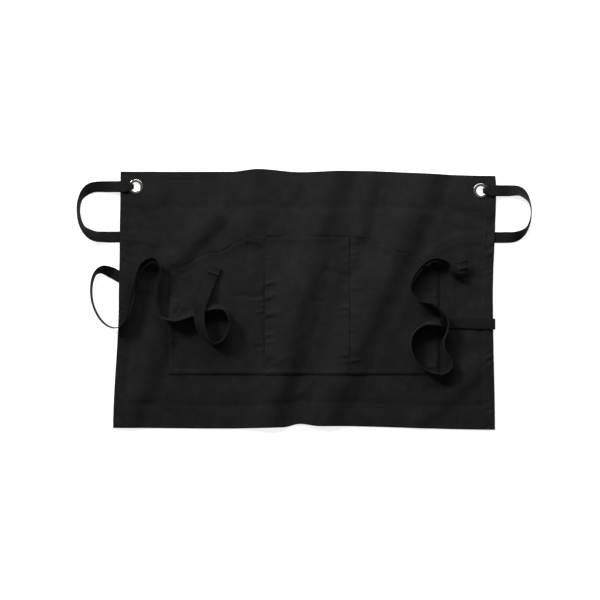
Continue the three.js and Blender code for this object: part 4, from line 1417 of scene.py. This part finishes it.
def tape_mesh(stations):
    """A tie: a long grid rolled into the tape's section and laid along its stations, with closed ends."""
    frames = tape_frames(stations)
    travelled = [0]
    for i in range(1, len(frames)):
        travelled.append(travelled[-1] + (frames[i][0] - frames[i - 1][0]).length)
    total = travelled[-1]
    ring = len(TAPE_SECTION)
    bm = bmesh.new()
    bmesh.ops.create_grid(bm, x_segments=len(frames) - 1, y_segments=ring, size=1)
    uv = bm.loops.layers.uv.new("tape")
    for face in bm.faces:
        for loop in face.loops:
            station = round((loop.vert.co.x + 1) / 2 * (len(frames) - 1))
            corner = (loop.vert.co.y + 1) / 2 * ring
            loop[uv].uv = (corner / ring * 2 * TIE_WIDTH * METRE, travelled[station] * METRE)
    for vert in bm.verts:
        i = round((vert.co.x + 1) / 2 * (len(frames) - 1))
        corner = round((vert.co.y + 1) / 2 * ring) % ring
        across, through = TAPE_SECTION[corner]
        point, wide, thick = frames[i]
        uneven = TAPE_UNEVENNESS * noise.noise(Vector((travelled[i] / 24, 2.2, 0)))
        width = stations[i]["width"] * (1 + uneven)
        to_end = total - travelled[i]
        if to_end < TIE_END_HEM:
            width *= TAPE_END_WIDENING
        upper = 1 if thick.z > 0 else -1
        cup = TAPE_CUP * noise.noise(Vector((travelled[i] / 31, 7.7, 0))) * (1 - across * across)
        if through * upper > 0:
            cup += upper * end_hem_rise(to_end)
        out = point + wide * (across * width / 2)
        out += thick * (through * stations[i]["thickness"] / 2 + cup)
        vert.co = in_frame(*out)
    bmesh.ops.remove_doubles(bm, verts=bm.verts[:], dist=1e-7)
    open_edges = [edge for edge in bm.edges if edge.is_boundary]
    bmesh.ops.holes_fill(bm, edges=open_edges, sides=0)
    bmesh.ops.recalc_face_normals(bm, faces=bm.faces[:])
    return bm


def left_tie_stations():
    return dense_stations([
        *eyelet_start(LEFT_EYELET, -1),
        *route_stations(LEFT_OUTBOARD, False),
        *route_stations(LEFT_UNDER, False),
        *route_stations(LEFT_OVER, True),
    ])


def right_tie_stations():
    """The right tie comes out from under the panel, turns round its edge and lies back over the front."""
    y = CROSSINGS[3]["v"] * APRON_LENGTH
    edge_x = right_edge(y)
    start = TIE_THICKNESS / 2
    end = bed_height(edge_x - TIE_WIDTH, y) + RESTING_GAP + TIE_THICKNESS / 2
    reach = (end - start) / 2 + TIE_THICKNESS / 2
    return dense_stations([
        *eyelet_start(RIGHT_EYELET, 1),
        *route_stations(RIGHT_OUTBOARD, False),
        *route_stations(RIGHT_UNDER, False),
        *half_turn(edge_x, y, start, end, reach, 1, TIE_WIDTH, TIE_THICKNESS),
        *route_stations(RIGHT_OVER, True),
    ])


left_stations = left_tie_stations()
right_stations = right_tie_stations()
tie_left = finished("tie_tape_left", tape_mesh(left_stations), tie_twill, "tie_left")
tie_right = finished("tie_tape_right", tape_mesh(right_stations), tie_twill, "tie_right")


def tie_rows(stations):
    """The stitches that close the folded tape near one edge, on both of its faces."""
    frames = tape_frames(stations)
    rows = []
    for face in (-1, 1):
        row = []
        for (point, wide, thick), station in zip(frames, stations):
            edge = wide * (0.74 * station["width"] / 2)
            row.append(point + edge + thick * (face * (0.4 * station["thickness"] + STITCH_RISE)))
        rows.append(row)
    return rows


sewn("tie_stitches_left", tie_rows(left_stations))
sewn("tie_stitches_right", tie_rows(right_stations))

# The table top, a plain white board just under the cloth, in metres
TABLE_HALF = 40
TABLE_DROP = 0.0004
floor_bm = bmesh.new()
bmesh.ops.create_grid(floor_bm, x_segments=4, y_segments=4, size=TABLE_HALF)
bmesh.ops.translate(floor_bm, verts=floor_bm.verts[:], vec=(0, 0, -TABLE_DROP))
floor_mesh = bpy.data.meshes.new("white_table")
floor_bm.to_mesh(floor_mesh)
floor_bm.free()
floor = bpy.data.objects.new("white_table", floor_mesh)
bpy.context.scene.collection.objects.link(floor)
white = new_material("white_board")
white_shader = add_node(white, "ShaderNodeBsdfPrincipled", Roughness=0.8)
white_shader.inputs["Base Color"].default_value = linear("#f4f4f4")
white_shader.inputs["Specular IOR Level"].default_value = 0.1
white_shader.inputs["Emission Color"].default_value = (1, 1, 1, 1)
white_shader.inputs["Emission Strength"].default_value = 0.8
add_node(white, "ShaderNodeOutputMaterial", [("Surface", white_shader.outputs[0])])
floor_mesh.materials.append(white)

# Light: a low soft key from the upper left, a wide soft light above the top and an even white surround
scene = bpy.context.scene
key_data = bpy.data.lights.new("key", "SUN")
key_data.energy = 1.9
key_data.angle = math.radians(13)
key = bpy.data.objects.new("key", key_data)
key.rotation_euler = Vector((0.62, -0.62, -0.49)).to_track_quat("-Z", "Y").to_euler()
scene.collection.objects.link(key)
top_data = bpy.data.lights.new("top_softbox", "AREA")
top_data.shape = "RECTANGLE"
top_data.size = 1.4
top_data.size_y = 0.6
top_data.energy = 11.5
top_light = bpy.data.objects.new("top_softbox", top_data)
top_light.location = (0.15, 1.1, 0.62)
top_light.rotation_euler = Vector((0.25, -1, -0.68)).to_track_quat("-Z", "Y").to_euler()
scene.collection.objects.link(top_light)
surround = bpy.data.worlds.new("studio_surround")
surround.use_nodes = True
background = surround.node_tree.nodes["Background"]
background.inputs["Color"].default_value = (1, 1, 1, 1)
background.inputs["Strength"].default_value = 0.1
scene.world = surround
scene.view_settings.view_transform = "Standard"

# Camera: straight down, with the photograph's field of 1.2 m, whose middle lies a little left of the
# panel's middle
CAMERA_HEIGHT = 3.333
VIEW_LEFT = 0.0088
VIEW_DOWN = 0.0013
panel_low, panel_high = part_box("apron_panel")
camera_data = bpy.data.cameras.new("overhead")
camera_data.sensor_width = 36
camera_data.lens = 100
camera_data.clip_end = 20
camera = bpy.data.objects.new("overhead", camera_data)
centre_x = (panel_low.x + panel_high.x) / 2 - VIEW_LEFT
centre_y = (panel_low.y + panel_high.y) / 2 - VIEW_DOWN
camera.location = (centre_x, centre_y, CAMERA_HEIGHT)
scene.collection.objects.link(camera)
scene.camera = camera
